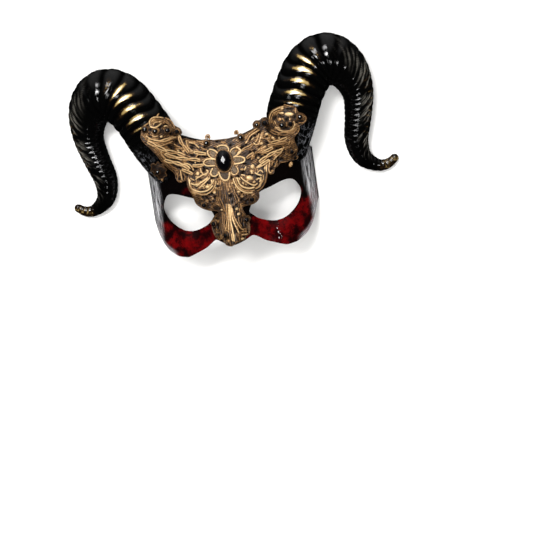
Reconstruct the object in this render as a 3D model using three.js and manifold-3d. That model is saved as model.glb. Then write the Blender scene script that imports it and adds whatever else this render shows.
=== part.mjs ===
// A horned half mask, lying on its back. Millimetres, +Z up.
// X runs across the face to the right as seen from the front, Y runs up the face towards the horns,
// and Z points out of the face. The shell's temple rims and the backs of the horns lie on z = 0.
// The origin ends up in the middle of the underside of the whole mask's bounding box.

import * as THREE from 'three';
import * as BufferGeometryUtils from 'three/addons/utils/BufferGeometryUtils.js';
import Module from 'manifold-3d';

const wasm = await Module();
wasm.setup();

// Fit between neighbouring pieces
const GAP = 0.3;

// The shell's edges, the eye hole and the lace's outline started from points marked by eye on the
// photograph, which a scratch program turned into millimetres. They were averaged over both sides,
// rounded and adjusted.

// Face shell: a horizontal section is half an ellipse, with the face's own relief on its front
const HALF_WIDTH = 71.5;
const FACE_DEPTH = 49;
const WALL = 2.4;
const FOREHEAD_FROM = 10;
const FOREHEAD_FALL = 0.0035;
const NOSE = { rise: 17, top: 8, length: 56, width: 9, spread: 4 };
const BROW = { rise: 3, x: 28, y: 3, rx: 24, ry: 10 };
const SOCKET = { rise: -7, x: 37, y: -22, rx: 17, ry: 15 };
const CHEEK = { rise: 3, x: 42, y: -50, rx: 15, ry: 12 };
const SHELL_COLUMNS = 40;
const SHELL_ROWS = 14;

// The shell's lower and upper edges: [distance from the middle, height up the face].
// The last pair of each is where the edge meets the temple rim.
const LOWER_EDGE = [
  [0, -48], [9, -46], [16, -43], [25, -50], [42, -57],
  [51, -56], [60, -50.5], [67, -41], [71.5, -26],
];
const UPPER_EDGE = [
  [0, 38], [12, 39.5], [24, 43], [36, 47.5],
  [50, 46], [60, 38], [67, 28], [71.5, 18],
];

// One eye hole, seen from the front: [distance from the middle, height up the face]
const EYE_HOLE = [
  [15.5, -22], [24, -10.5], [34, -6.5], [50, -2.5], [57.5, -9],
  [58, -19], [50, -30], [38, -35.2], [25, -32.5], [17.5, -27],
];
const EYE_POINTS = 26;

// A horn's centre line and thickness: [x, y, z, radius], from its root in the shell to its tip.
// A scratch program fitted x, y and radius to both horns' outlines in the photograph. They were
// averaged, rounded and partly adjusted. The depths and the end rows were chosen by hand.
const HORN_LINE = [
  [51, 16, 21, 15],
  [54.5, 32, 28, 19.3],
  [60.4, 50, 31.5, 21.4],
  [68.6, 67, 29, 21],
  [79.5, 82.5, 25, 21.8],
  [91, 88.8, 22.8, 22.3],
  [101.8, 86.2, 20.8, 21.4],
  [111.9, 74.9, 17, 17.5],
  [116.5, 56.4, 12.9, 13.2],
  [113.5, 36.7, 11, 11.3],
  [109, 17, 9.7, 10],
  [111.8, 1.5, 7.7, 7.9],
  [122.5, -7.5, 5.2, 5.3],
  [132, -8, 4.1, 4.2],
  [141, -2.4, 3.1, 3.1],
];
const HORN_SIDES = 12;
// The pair of horns is set a little askew on the shell: a turn about Z in degrees, and a shift along X
const HORN_TURN = 1.5;
const HORN_SHIFT = 2;
// A ring inside a tight bend reaches no further than this share of the bend's radius
const BEND_REACH = 0.9;
const SMOOTH_ROOT = 46;
const RIDGE_STEP = { root: 10, tip: 4.6 };
const RIDGE_RISE = { root: 1.5, tip: 0.35 };

// Lace: a stiff pierced piece that follows the shell and the roots of the horns
const LACE_LOW = 0.7;
const LACE_THICK = 1.8;
const LACE_BLEND = 5;
const STEEP = 0.78;
const LACE_COLUMNS = 24;
const LACE_ROWS = 18;
const LACE_AREA = { side: 72, bottom: -50, top: 66 };
const LACE_OUTLINE = [
  [0, 37.6], [6, 37.8], [10.4, 39], [12.4, 43.4], [15, 40], [22, 42.2], [30, 45.4], [36, 48.4],
  [40.5, 53], [45, 60], [53, 63.6], [61, 61.5], [67, 56.5], [70, 49.5], [66.5, 42], [62.5, 33],
  [60.5, 26], [61, 19.5], [57, 13.5], [53.8, 7], [50.8, 12], [46.5, 13.5], [42, 5.5], [37.5, 3.4],
  [34.5, 5.5], [33.4, 0.5], [30, -5], [25.2, -8.2], [26, -12.5], [22, -18], [15.5, -20.6], [10.8, -19.5],
  [10.6, -23], [14.6, -27.5], [16.6, -33], [15.8, -38.5], [12.4, -43], [9.2, -42.6], [7.4, -45.6],
  [3.4, -45.8], [0, -48],
];

// Gem in the middle of the lace's flower
const GEM = { x: 0, y: 21.5, width: 13, height: 17.8, rise: 5, sides: 16 };
const GEM_LIFT = 0.7;

// Openings pierced through the lace, for its right half. Each is drawn as a small oval.
const PETALS = { count: 8, reachAcross: 12.4, reachUp: 13.2, long: 3.2, wide: 2.5, below: 34 };
const WING_SLOTS = { rows: 3, count: 4, x: 23, y: 18, acrossX: 9.2, acrossY: 2.6, rowY: 8.2, rowFall: 0.5 };
const WING_SLOT = { long: 4, wide: 1.7, turn: 0.6, rowTurn: -0.16 };
const SCROLL_ROWS = [{ radius: 4.8, count: 2 }, { radius: 9.6, count: 3 }];
const SCROLL = { x: 16, y: 4, middle: -0.25 * Math.PI, spread: 0.62, long: 2.6, wide: 1.3 };
const ROSETTE = { x: 54.5, y: 52.5, across: 8.6, up: 7, count: 6, size: 1.7 };
const NOSE_SLOTS = [
  { x: 2.8, y: -12, long: 5.2, wide: 1, lean: 0.06 },
  { x: 5, y: -12, long: 5.2, wide: 1, lean: 0.16 },
  { x: 4, y: -29, long: 6, wide: 1.3, lean: 0.04 },
  { x: 7.4, y: -29, long: 6, wide: 1.3, lean: 0.1 },
];
const LEAF_HOLE = { x: 20.5, y: -14, size: 1.9 };

// Beads: [x, y, diameter]. The two sides don't quite match. The places were marked by eye on the
// photograph and turned into millimetres by a scratch program, then adjusted.
const BEAD_LIFT = 0.7;
const BEADS = [
  [-60.8, 56.3, 4.6], [-53.3, 53.4, 4.6], [-45, 52.1, 4.6], [-37.9, 49.3, 4.6],
  [30.5, 46.4, 3.4], [40.2, 47.2, 4.8], [53.5, 45.2, 4.8], [59.9, 45.6, 4.4], [67.6, 50, 4.4],
  [-11.8, 37.4, 4.4], [16.3, 38.2, 4.4],
  [-56.2, 20.6, 3.8], [57, 22.4, 3.8], [58.4, 16.8, 3.2],
  [-20.7, -12.9, 4.2], [17.6, -13.4, 4.2],
  [-13.8, -30, 4.4], [10.4, -29.7, 4.4], [-4.1, -39, 4.2],
];

const finish = (name, color, roughness, metalness) => ({ name, color, roughness, metalness });
const LACQUER = finish('lacquer', 0x4a0a0e, 0.2, 0);
const HORN_BLACK = finish('horn black', 0x0f0d0c, 0.25, 0.1);
const LACE_GOLD = finish('lace gold', 0x9c7a45, 0.5, 0.4);
const GEM_BLACK = finish('gem black', 0x08080a, 0.08, 0);

const smooth = (t) => {
  const c = THREE.MathUtils.clamp(t, 0, 1);
  return c * c * (3 - 2 * c);
};

const mound = (m, x, y) => m.rise * Math.exp(-(((x - m.x) / m.rx) ** 2) - ((y - m.y) / m.ry) ** 2);

// How far the front of the face stands above z = 0
function faceHeight(x, y) {
  const side = Math.min(Math.abs(x), HALF_WIDTH);
  const round = Math.sqrt(1 - (side / HALF_WIDTH) ** 2);
  const depth = FACE_DEPTH - FOREHEAD_FALL * Math.max(y - FOREHEAD_FROM, 0) ** 2;
  const down = smooth((NOSE.top - y) / NOSE.length);
  const nose = NOSE.rise * down * Math.exp(-((side / (NOSE.width + NOSE.spread * down)) ** 2));
  const relief = nose + mound(BROW, side, y) + mound(SOCKET, side, y) + mound(CHEEK, side, y);
  return depth * round + relief * Math.min(1, 2 * round);
}

// Height of an edge of the shell at a given distance from the middle, eased between its points
function edgeHeight(edge, x) {
  const side = Math.abs(x);
  const next = edge.findIndex(([at]) => at >= side);
  if (next <= 0) return edge[Math.max(next, 0)][1];
  const [fromX, fromY] = edge[next - 1];
  const [toX, toY] = edge[next];
  return THREE.MathUtils.lerp(fromY, toY, (side - fromX) / (toX - fromX));
}

// A point of the shell's front, pushed outwards by an offset along the surface's own direction
function shellPoint(across, up, offset) {
  const at = (a, b) => {
    const angle = (a * Math.PI) / 2;
    const x = HALF_WIDTH * Math.sin(angle);
    const y = THREE.MathUtils.lerp(edgeHeight(LOWER_EDGE, x), edgeHeight(UPPER_EDGE, x), b);
    return new THREE.Vector3(x, y, faceHeight(x, y));
  };
  const step = 0.004;
  const here = at(across, up);
  const alongX = at(Math.min(across + step, 1), up).sub(at(Math.max(across - step, -1), up));
  const alongY = at(across, up + step).sub(at(across, up - step));
  const outward = alongX.cross(alongY).normalize();
  if (Math.abs(across) === 1) outward.set(Math.sign(across), 0, 0);
  return here.addScaledVector(outward, offset);
}

// A closed body between two grids of points of the same size, with walls along its four edges
function bodyBetween(columns, rows, topPoint, bottomPoint) {
  const positions = [];
  const faces = [];
  const wide = columns + 1;
  for (const point of [topPoint, bottomPoint]) {
    for (let j = 0; j <= rows; j += 1) {
      for (let i = 0; i <= columns; i += 1) positions.push(...point(i / columns, j / rows).toArray());
    }
  }
  const top = (i, j) => j * wide + i;
  const bottom = (i, j) => wide * (rows + 1) + j * wide + i;
  const quad = (a, b, c, d) => faces.push(a, b, c, a, c, d);
  for (let j = 0; j < rows; j += 1) {
    for (let i = 0; i < columns; i += 1) {
      quad(top(i, j), top(i + 1, j), top(i + 1, j + 1), top(i, j + 1));
      quad(bottom(i, j), bottom(i, j + 1), bottom(i + 1, j + 1), bottom(i + 1, j));
    }
  }
  for (let i = 0; i < columns; i += 1) {
    quad(bottom(i, 0), bottom(i + 1, 0), top(i + 1, 0), top(i, 0));
    quad(top(i, rows), top(i + 1, rows), bottom(i + 1, rows), bottom(i, rows));
  }
  for (let j = 0; j < rows; j += 1) {
    quad(top(0, j), top(0, j + 1), bottom(0, j + 1), bottom(0, j));
    quad(bottom(columns, j), bottom(columns, j + 1), top(columns, j + 1), top(columns, j));
  }
  const geometry = new THREE.BufferGeometry();
  geometry.setAttribute('position', new THREE.Float32BufferAttribute(positions, 3));
  geometry.setIndex(faces);
  return geometry;
}

function toSolid(geometry) {
  const bare = geometry.clone();
  bare.deleteAttribute('normal');
  bare.deleteAttribute('uv');
  const merged = BufferGeometryUtils.mergeVertices(bare, 1e-4);
  return new wasm.Manifold(new wasm.Mesh({
    numProp: 3,
    vertProperties: new Float32Array(merged.attributes.position.array),
    triVerts: new Uint32Array(merged.index.array),
  }));
}

function toGeometry(solid) {
  const mesh = solid.getMesh();
  const geometry = new THREE.BufferGeometry();
  const points = [];
  for (let i = 0; i < mesh.numVert; i += 1) {
    points.push(...mesh.vertProperties.slice(i * mesh.numProp, i * mesh.numProp + 3));
  }
  geometry.setAttribute('position', new THREE.Float32BufferAttribute(points, 3));
  geometry.setIndex([...mesh.triVerts]);
  return geometry;
}

// A straight prism along Z over a closed outline, tall enough to pass right through the mask
function prism(outline) {
  const shape = new THREE.Shape(outline.map(([x, y]) => new THREE.Vector2(x, y)));
  const geometry = new THREE.ExtrudeGeometry(shape, { depth: 120, bevelEnabled: false, curveSegments: 1 });
  return toSolid(geometry.translate(0, 0, -20));
}

const mirrored = (points) => points.map(([x, y]) => [-x, y]).reverse();

function eyeOutline() {
  const corners = EYE_HOLE.map(([x, y]) => new THREE.Vector3(x, y, 0));
  const curve = new THREE.CatmullRomCurve3(corners, true, 'catmullrom', 0.6);
  return curve.getPoints(EYE_POINTS).slice(0, -1).map((p) => [p.x, p.y]);
}

function shellBody() {
  const point = (offset) => (a, b) => {
    const p = shellPoint(a * 2 - 1, b, offset);
    p.z = Math.max(p.z, 0);
    return p;
  };
  const blank = toSolid(bodyBetween(SHELL_COLUMNS, SHELL_ROWS, point(0), point(-WALL)));
  const eye = eyeOutline();
  return toGeometry(blank.subtract(prism(eye)).subtract(prism(mirrored(eye))));
}

// Everything behind the shell's front, grown by the gap, for cutting a horn's seat
function shellFilled() {
  const top = (a, b) => shellPoint(a * 2 - 1, b, GAP);
  const bottom = (a, b) => top(a, b).setZ(-10);
  return toSolid(bodyBetween(SHELL_COLUMNS, SHELL_ROWS, top, bottom));
}

const HORN_CURVE = new THREE.CatmullRomCurve3(
  HORN_LINE.map(([x, y, z]) => new THREE.Vector3(x, y, z)),
  false,
  'catmullrom',
  0.5,
);
const HORN_GIRTH = new THREE.CatmullRomCurve3(
  HORN_LINE.map(([, , , radius], i) => new THREE.Vector3(i, radius, 0)),
  false,
  'catmullrom',
  0.5,
);
HORN_CURVE.arcLengthDivisions = 600;
const HORN_LENGTH = HORN_CURVE.getLength();

// Rings along the horn: [distance from the root, radius], two to a ridge, and a round tip
function hornRings() {
  const plain = (at) => {
    const t = HORN_CURVE.getUtoTmapping(at / HORN_LENGTH);
    return HORN_GIRTH.getPoint(t).y;
  };
  const rings = [];
  for (let at = 0; at < SMOOTH_ROOT; at += 7.5) rings.push([at, plain(at)]);
  const tip = plain(HORN_LENGTH);
  const last = HORN_LENGTH - tip * 1.6;
  for (let at = SMOOTH_ROOT; at < last;) {
    const along = (at - SMOOTH_ROOT) / (last - SMOOTH_ROOT);
    const step = THREE.MathUtils.lerp(RIDGE_STEP.root, RIDGE_STEP.tip, Math.min(1, along * 2));
    const rise = THREE.MathUtils.lerp(RIDGE_RISE.root, RIDGE_RISE.tip, along);
    rings.push([at, plain(at) - rise * 0.4]);
    if (at + step * 0.6 < last) rings.push([at + step * 0.6, plain(at + step * 0.6) + rise * 0.6]);
    at += step;
  }
  for (const turn of [0, 0.45, 0.8]) {
    const angle = (turn * Math.PI) / 2;
    rings.push([HORN_LENGTH - tip + tip * Math.sin(angle), tip * Math.cos(angle)]);
  }
  return rings;
}

// Which way the centre line bends, and how tightly
function bendAt(u) {
  const step = 0.012;
  const before = Math.max(u - step, 0);
  const after = Math.min(u + step, 1);
  const turn = HORN_CURVE.getTangentAt(after).sub(HORN_CURVE.getTangentAt(before));
  const radius = ((after - before) * HORN_LENGTH) / Math.max(turn.length(), 1e-6);
  return { inward: turn.normalize(), radius };
}

// A horn as a bent cylinder. Its front faces Z, and what would dip below z = 0 is laid flat.
function hornBlank(extra = 0) {
  const rings = hornRings();
  const geometry = new THREE.CylinderGeometry(1, 1, 1, HORN_SIDES, rings.length - 1);
  const position = geometry.attributes.position;
  const up = new THREE.Vector3(0, 0, 1);
  for (let i = 0; i < position.count; i += 1) {
    const [at, radius] = rings[Math.round((position.getY(i) + 0.5) * (rings.length - 1))];
    const u = THREE.MathUtils.clamp(at / HORN_LENGTH, 0, 1);
    const along = HORN_CURVE.getTangentAt(u);
    const front = up.clone().addScaledVector(along, -up.dot(along)).normalize();
    const side = along.clone().cross(front);
    const out = front.multiplyScalar(position.getZ(i)).addScaledVector(side, position.getX(i));
    out.multiplyScalar(radius + extra);
    const bend = bendAt(u);
    out.addScaledVector(bend.inward, Math.min(0, BEND_REACH * bend.radius - out.dot(bend.inward)));
    const place = HORN_CURVE.getPointAt(u).add(out);
    position.setXYZ(i, place.x, place.y, Math.max(place.z, -extra));
  }
  return geometry;
}

// The right or left horn in its place on the shell
function hornPlaced(mirror, extra = 0) {
  const solid = toSolid(hornBlank(extra));
  const handed = mirror ? solid.mirror([1, 0, 0]) : solid;
  return handed.rotate([0, 0, HORN_TURN]).translate([HORN_SHIFT, 0, 0]);
}

const hornBody = (mirror) => toGeometry(hornPlaced(mirror).subtract(shellFilled()));

// The first stretch of a horn as a row of balls
const HORN_BALLS = Array.from({ length: 36 }, (_, i) => {
  const t = (i / 35) * 0.32;
  return { centre: HORN_CURVE.getPoint(t), radius: HORN_GIRTH.getPoint(t).y };
});

// Height of the horn's front over a point. Each ball runs out in a straight skirt once it gets steep.
function hornHeight(x, y) {
  const slope = STEEP / Math.sqrt(1 - STEEP ** 2);
  const turn = THREE.MathUtils.degToRad(-HORN_TURN);
  const own = new THREE.Vector2(x - HORN_SHIFT, y).rotateAround(new THREE.Vector2(), turn);
  const heights = HORN_BALLS.map(({ centre, radius }) => {
    const away = Math.hypot(Math.abs(own.x) - centre.x, own.y - centre.y);
    const onBall = Math.min(away, STEEP * radius);
    return centre.z + Math.sqrt(radius ** 2 - onBall ** 2) - slope * (away - onBall);
  });
  return Math.max(...heights);
}

// The surface that the lace lies on: the shell and the horns' roots, blended where they meet
function laceHeight(x, y) {
  const shell = faceHeight(x, y);
  const horn = hornHeight(x, y);
  const gap = Math.abs(shell - horn);
  const blend = gap < LACE_BLEND ? ((LACE_BLEND - gap) ** 2) / (4 * LACE_BLEND) : 0;
  return Math.max(shell, horn) + blend;
}

const oval = (x, y, rx, ry, turn, sides) => Array.from({ length: sides }, (_, i) => {
  const angle = (i / sides) * Math.PI * 2;
  const a = rx * Math.cos(angle);
  const b = ry * Math.sin(angle);
  return [x + a * Math.cos(turn) - b * Math.sin(turn), y + a * Math.sin(turn) + b * Math.cos(turn)];
});

// Openings around the gem, one to a petal, except where the upper edge is too close
function petalHoles() {
  const holes = [];
  for (let i = 0; i < PETALS.count; i += 1) {
    const angle = (i / PETALS.count) * Math.PI * 2;
    const x = GEM.x + PETALS.reachAcross * Math.cos(angle);
    const y = GEM.y + PETALS.reachUp * Math.sin(angle);
    if (y < PETALS.below) holes.push(oval(x, y, PETALS.long, PETALS.wide, angle, 6));
  }
  return holes;
}

// Slanted slots in rows across a wing, between the flower and the rosette
function wingHoles() {
  const holes = [];
  for (let row = 0; row < WING_SLOTS.rows; row += 1) {
    for (let i = 0; i < WING_SLOTS.count; i += 1) {
      const x = WING_SLOTS.x + i * WING_SLOTS.acrossX;
      const climb = WING_SLOTS.acrossY - row * WING_SLOTS.rowFall;
      const y = WING_SLOTS.y + row * WING_SLOTS.rowY + i * climb;
      const turn = WING_SLOT.turn + row * WING_SLOT.rowTurn;
      holes.push(oval(x, y, WING_SLOT.long, WING_SLOT.wide, turn, 4));
    }
  }
  return holes;
}

// Curved rows of slots in the scroll below a wing
function scrollHoles() {
  const holes = [];
  for (const { radius, count } of SCROLL_ROWS) {
    for (let i = 0; i < count; i += 1) {
      const angle = SCROLL.middle + (i - (count - 1) / 2) * SCROLL.spread;
      const x = SCROLL.x + radius * Math.cos(angle);
      const y = SCROLL.y + radius * Math.sin(angle);
      holes.push(oval(x, y, SCROLL.long, SCROLL.wide, angle + Math.PI / 2, 4));
    }
  }
  return holes;
}

// Small holes of the rosette on a horn's root
const rosetteHoles = () => Array.from({ length: ROSETTE.count }, (_, i) => {
  const angle = ((i + 0.5) / ROSETTE.count) * Math.PI * 2;
  const x = ROSETTE.x + ROSETTE.across * Math.cos(angle);
  const y = ROSETTE.y + ROSETTE.up * Math.sin(angle);
  return oval(x, y, ROSETTE.size, ROSETTE.size, angle, 4);
});

function laceHoles() {
  const nose = NOSE_SLOTS.map(({ x, y, long, wide, lean }) => oval(x, y, long, wide, Math.PI / 2 + lean, 4));
  const leaf = oval(LEAF_HOLE.x, LEAF_HOLE.y, LEAF_HOLE.size, LEAF_HOLE.size, 0, 4);
  const right = [...wingHoles(), ...scrollHoles(), ...rosetteHoles(), ...nose, leaf];
  return [...petalHoles(), ...right, ...right.map(mirrored)];
}

function laceBody() {
  const sheet = (offset) => (a, b) => {
    const x = THREE.MathUtils.lerp(-LACE_AREA.side, LACE_AREA.side, a);
    const y = THREE.MathUtils.lerp(LACE_AREA.bottom, LACE_AREA.top, b);
    return new THREE.Vector3(x, y, laceHeight(x, y) + offset);
  };
  const slab = toSolid(bodyBetween(LACE_COLUMNS, LACE_ROWS, sheet(LACE_LOW + LACE_THICK), sheet(LACE_LOW)));
  const outline = [...LACE_OUTLINE, ...mirrored(LACE_OUTLINE).slice(1, -1)];
  const pads = BEADS.map(([x, y, size]) => prism(oval(x, y, size / 2, size / 2, 0, 6)));
  const open = laceHoles().reduce((rest, hole) => rest.subtract(prism(hole)), prism(outline));
  const pierced = pads.reduce((sum, pad) => sum.add(pad), open);
  const cut = pierced.intersect(slab).subtract(shellFilled());
  return toGeometry(cut.subtract(hornPlaced(false, GAP)).subtract(hornPlaced(true, GAP)));
}

// An oval stone with a flat back, a sloping crown and a flat table
function gemGeometry() {
  const profile = [[0, 0], [0.93, 0], [1, 1.4], [0.8, 3.2], [0.45, GEM.rise], [0, GEM.rise]];
  const lathe = new THREE.LatheGeometry(profile.map(([r, z]) => new THREE.Vector2(r, z)), GEM.sides);
  return lathe.rotateX(Math.PI / 2).scale(GEM.width / 2, GEM.height / 2, 1);
}

const group = new THREE.Group();

function addPiece(name, geometry, look) {
  const mesh = new THREE.Mesh(geometry, new THREE.MeshStandardMaterial(look));
  mesh.name = name;
  group.add(mesh);
  return mesh;
}

addPiece('shell', shellBody(), LACQUER);
addPiece('horn_right', hornBody(false), HORN_BLACK);
addPiece('horn_left', hornBody(true), HORN_BLACK);
addPiece('lace', laceBody(), LACE_GOLD);

const laceTop = (x, y) => laceHeight(x, y) + LACE_LOW + LACE_THICK;

// A point at a given distance off the lace's front, along the surface's own direction
function offLace(x, y, distance) {
  const step = 1;
  const slopeX = (laceTop(x + step, y) - laceTop(x - step, y)) / (2 * step);
  const slopeY = (laceTop(x, y + step) - laceTop(x, y - step)) / (2 * step);
  const outward = new THREE.Vector3(-slopeX, -slopeY, 1).normalize();
  return new THREE.Vector3(x, y, laceTop(x, y)).addScaledVector(outward, distance);
}

const gem = addPiece('gem', gemGeometry(), GEM_BLACK);
gem.position.set(GEM.x, GEM.y, laceTop(GEM.x, GEM.y) + GEM_LIFT);

BEADS.forEach(([x, y, size], i) => {
  const name = `bead_${String(i + 1).padStart(2, '0')}`;
  const bead = addPiece(name, new THREE.SphereGeometry(size / 2, 8, 4), GEM_BLACK);
  bead.position.copy(offLace(x, y, BEAD_LIFT + size / 2));
});

const box = new THREE.Box3().setFromObject(group);
group.position.set(-(box.min.x + box.max.x) / 2, -(box.min.y + box.max.y) / 2, -box.min.z);

export default group;
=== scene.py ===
"""A horned half mask, lying on its back on a pale floor.

Shapes are worked out in the mask's own millimetres: X across the face to the right as seen from
the front, Y up the face towards the horns, Z out of the face, with the gem at x = 0. One shift,
read from the gem's CAD node, carries them into the row frame.
"""

import logging
import math
from dataclasses import dataclass, field
from enum import Enum
from typing import Optional, Sequence

import bmesh
import bpy
import numpy as np
from mathutils import Matrix, Vector


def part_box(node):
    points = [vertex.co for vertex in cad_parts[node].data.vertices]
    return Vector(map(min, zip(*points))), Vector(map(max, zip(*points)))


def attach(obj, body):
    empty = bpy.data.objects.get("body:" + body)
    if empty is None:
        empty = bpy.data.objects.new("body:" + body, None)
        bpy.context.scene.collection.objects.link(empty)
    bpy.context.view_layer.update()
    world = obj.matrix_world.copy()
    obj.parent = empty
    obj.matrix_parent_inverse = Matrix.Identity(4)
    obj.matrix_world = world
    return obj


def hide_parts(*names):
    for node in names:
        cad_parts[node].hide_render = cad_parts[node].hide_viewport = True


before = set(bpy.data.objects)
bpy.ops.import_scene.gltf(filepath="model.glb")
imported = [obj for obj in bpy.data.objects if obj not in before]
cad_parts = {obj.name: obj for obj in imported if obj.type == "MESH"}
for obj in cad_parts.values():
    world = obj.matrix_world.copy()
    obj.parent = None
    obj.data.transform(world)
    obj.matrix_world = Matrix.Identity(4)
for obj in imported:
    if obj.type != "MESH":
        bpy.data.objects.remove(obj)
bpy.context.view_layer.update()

log = logging.getLogger("horned_mask")
Array = np.ndarray
Socket = bpy.types.NodeSocket
Object = bpy.types.Object
Material = bpy.types.Material
# What feeds a socket: a number or another socket; for a colour, a hex value or a socket.
Value = Socket | float
Tint = Socket | str
MM = 0.001
FULL_TURN = 2 * math.pi
# How near two points are, in metres, to be one: at a closed pole, and where two halves join.
CLOSE = 1e-6
SEAM = 2e-5
# How far apart a wave texture draws straight bands at a scale of 1; slanting ones lie 1.4 times as far.
WAVE_BAND = 0.314


# Small helpers


def to_linear(code: str) -> tuple[float, float, float, float]:
    """Linear colour of an sRGB hex value.

    Args:
        code: six hex digits, with or without a leading #.

    Returns:
        Red, green, blue and an alpha of 1.
    """
    digits = code.lstrip("#")
    parts = [int(digits[i : i + 2], 16) / 255 for i in (0, 2, 4)]
    linear = [c / 12.92 if c <= 0.04045 else ((c + 0.055) / 1.055) ** 2.4 for c in parts]
    return (linear[0], linear[1], linear[2], 1.0)


def smooth_step(value: Array | float, low: float = 0.0, high: float = 1.0) -> Array:
    """Smooth rise from 0 at low to 1 at high: 3t^2 - 2t^3.

    Args:
        value: what is compared.
        low: where the rise starts.
        high: where it ends; it may be below low, for a fall.

    Returns:
        Values from 0 to 1.
    """
    t = np.clip((np.asarray(value, float) - low) / (high - low), 0, 1)
    return t * t * (3 - 2 * t)


def stretch(value: Array, start: float, full: float, fading: float, end: float) -> Array:
    """A smooth rise from 0 at start to 1 at full, and back from 1 at fading to 0 at end."""
    return smooth_step(value, start, full) * smooth_step(value, end, fading)


def hill(value: Array, middle: float, width: float) -> Array:
    """A bell of height 1 round a middle value."""
    return np.exp(-(((value - middle) / width) ** 2))


def round_angles(count: int) -> Array:
    """Evenly spaced angles round a full turn, from 0."""
    return np.arange(count) * (FULL_TURN / count)


def turned(x: Array, y: Array, angle: float) -> tuple[Array, Array]:
    """Flat places turned about the origin by an angle in radians."""
    c, s = math.cos(angle), math.sin(angle)
    return x * c - y * s, x * s + y * c


def off_angle(phi: Array, middle: Array | float) -> Array:
    """How far angles lie from a middle one, between -pi and pi."""
    return np.angle(np.exp(1j * (phi - middle)))


def between(where: Array, length: Array, rows: Array) -> Array:
    """Rows that are known at the distances in length, read at other distances."""
    return np.stack([np.interp(where, length, column) for column in rows.T], -1)


def unit(vectors: Array) -> Array:
    """Vectors brought to length 1."""
    return vectors / np.maximum(np.linalg.norm(vectors, axis=-1, keepdims=True), 1e-9)


def waves(a: Array, b: Array, seed: int, scale: float, count: int = 9, turns: bool = False) -> Array:
    """Smooth noise made of a sum of sine waves, sum of sin(m a + n b + p) / count^0.5.

    Args:
        a: first coordinate; an angle when turns is true.
        b: second coordinate.
        seed: which fixed set of waves.
        scale: typical wave number along b.
        count: how many waves.
        turns: whether the waves close round a full turn of a.

    Returns:
        Noise of about -1 to 1.
    """
    rng = np.random.default_rng(seed)
    total = np.zeros(np.broadcast(a, b).shape)
    for _ in range(count):
        m = rng.integers(-4, 5) if turns else rng.normal(0, scale)
        n = rng.normal(0, scale)
        total = total + np.sin(m * a + n * b + rng.uniform(0, FULL_TURN))
    return total / math.sqrt(count) / 1.2


def distances(path: Array) -> Array:
    """How far each point of a path is from its start, along the path."""
    return np.r_[0, np.cumsum(np.linalg.norm(np.diff(path, axis=0), axis=1))]


def spline(
    points: Sequence[Sequence[float]],
    samples: int,
    closed: bool = False,
    pull: float = 0.5,
) -> Array:
    """Cubic curve through points; its slope at each is pull times the step between its neighbours.

    Args:
        points: the points it passes through.
        samples: how many points are worked out.
        closed: whether it returns to its start.
        pull: how far the slopes reach.

    Returns:
        An array of samples by the points' own dimension.
    """
    p = np.asarray(points, float)
    if closed:
        p = np.vstack([p[-1:], p, p[:2]])
    else:
        p = np.vstack([2 * p[:1] - p[1:2], p, 2 * p[-1:] - p[-2:-1]])
    spans = len(p) - 3
    t = np.linspace(0, spans, samples, endpoint=not closed)
    i = np.minimum(t.astype(int), spans - 1)
    f = (t - i)[:, None]
    p0, p1, p2, p3 = p[i], p[i + 1], p[i + 2], p[i + 3]
    m1, m2 = pull * (p2 - p0), pull * (p3 - p1)
    return p1 + m1 * f + (3 * (p2 - p1) - 2 * m1 - m2) * f**2 + (2 * (p1 - p2) + m1 + m2) * f**3


def even(path: Array, step: float) -> Array:
    """The same path with evenly spaced points.

    Args:
        path: points along the path.
        step: wished distance between points.

    Returns:
        The new points, both ends kept.
    """
    length = distances(path)
    count = max(int(round(length[-1] / step)) + 1, 4)
    at = np.linspace(0, length[-1], count)
    return between(at, length, path)


def inside(spots: Array, border: Array) -> Array:
    """Which points lie inside a closed outline: a ray from them crosses it an odd number of times.

    Args:
        spots: points by (x, y).
        border: the outline's corners in order.

    Returns:
        True or false for each point.
    """
    after = np.roll(border, -1, axis=0)
    x, y = spots[:, :1], spots[:, 1:]
    spans = (border[:, 1] > y) != (after[:, 1] > y)
    rise = np.where(after[:, 1] == border[:, 1], 1.0, after[:, 1] - border[:, 1])
    crossing = border[:, 0] + (y - border[:, 1]) / rise * (after[:, 0] - border[:, 0])
    return (spans & (x < crossing)).sum(1) % 2 == 1


def grid_faces(rows: int, columns: int, wrap: bool = False) -> Array:
    """Four-sided faces of a grid of points stored row by row.

    Args:
        rows: rows of points.
        columns: points in a row.
        wrap: whether each row closes on itself.

    Returns:
        An array of faces by four indices.
    """
    across = columns if wrap else columns - 1
    r, c = np.meshgrid(np.arange(rows - 1), np.arange(across), indexing="ij")
    d = (c + 1) % columns
    corners = [r * columns + c, r * columns + d, (r + 1) * columns + d, (r + 1) * columns + c]
    return np.stack([k.ravel() for k in corners], axis=1)


# The mask's shared forms, the same as the solids'


@dataclass(frozen=True)
class Mound:
    """A soft rise or hollow: rise times exp(-((x - x0)/rx)^2 - ((y - y0)/ry)^2)."""

    rise: float
    x: float
    y: float
    rx: float
    ry: float

    def at(self, x: Array, y: Array) -> Array:
        """Height of the mound over points."""
        return self.rise * np.exp(-(((x - self.x) / self.rx) ** 2) - ((y - self.y) / self.ry) ** 2)


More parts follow.
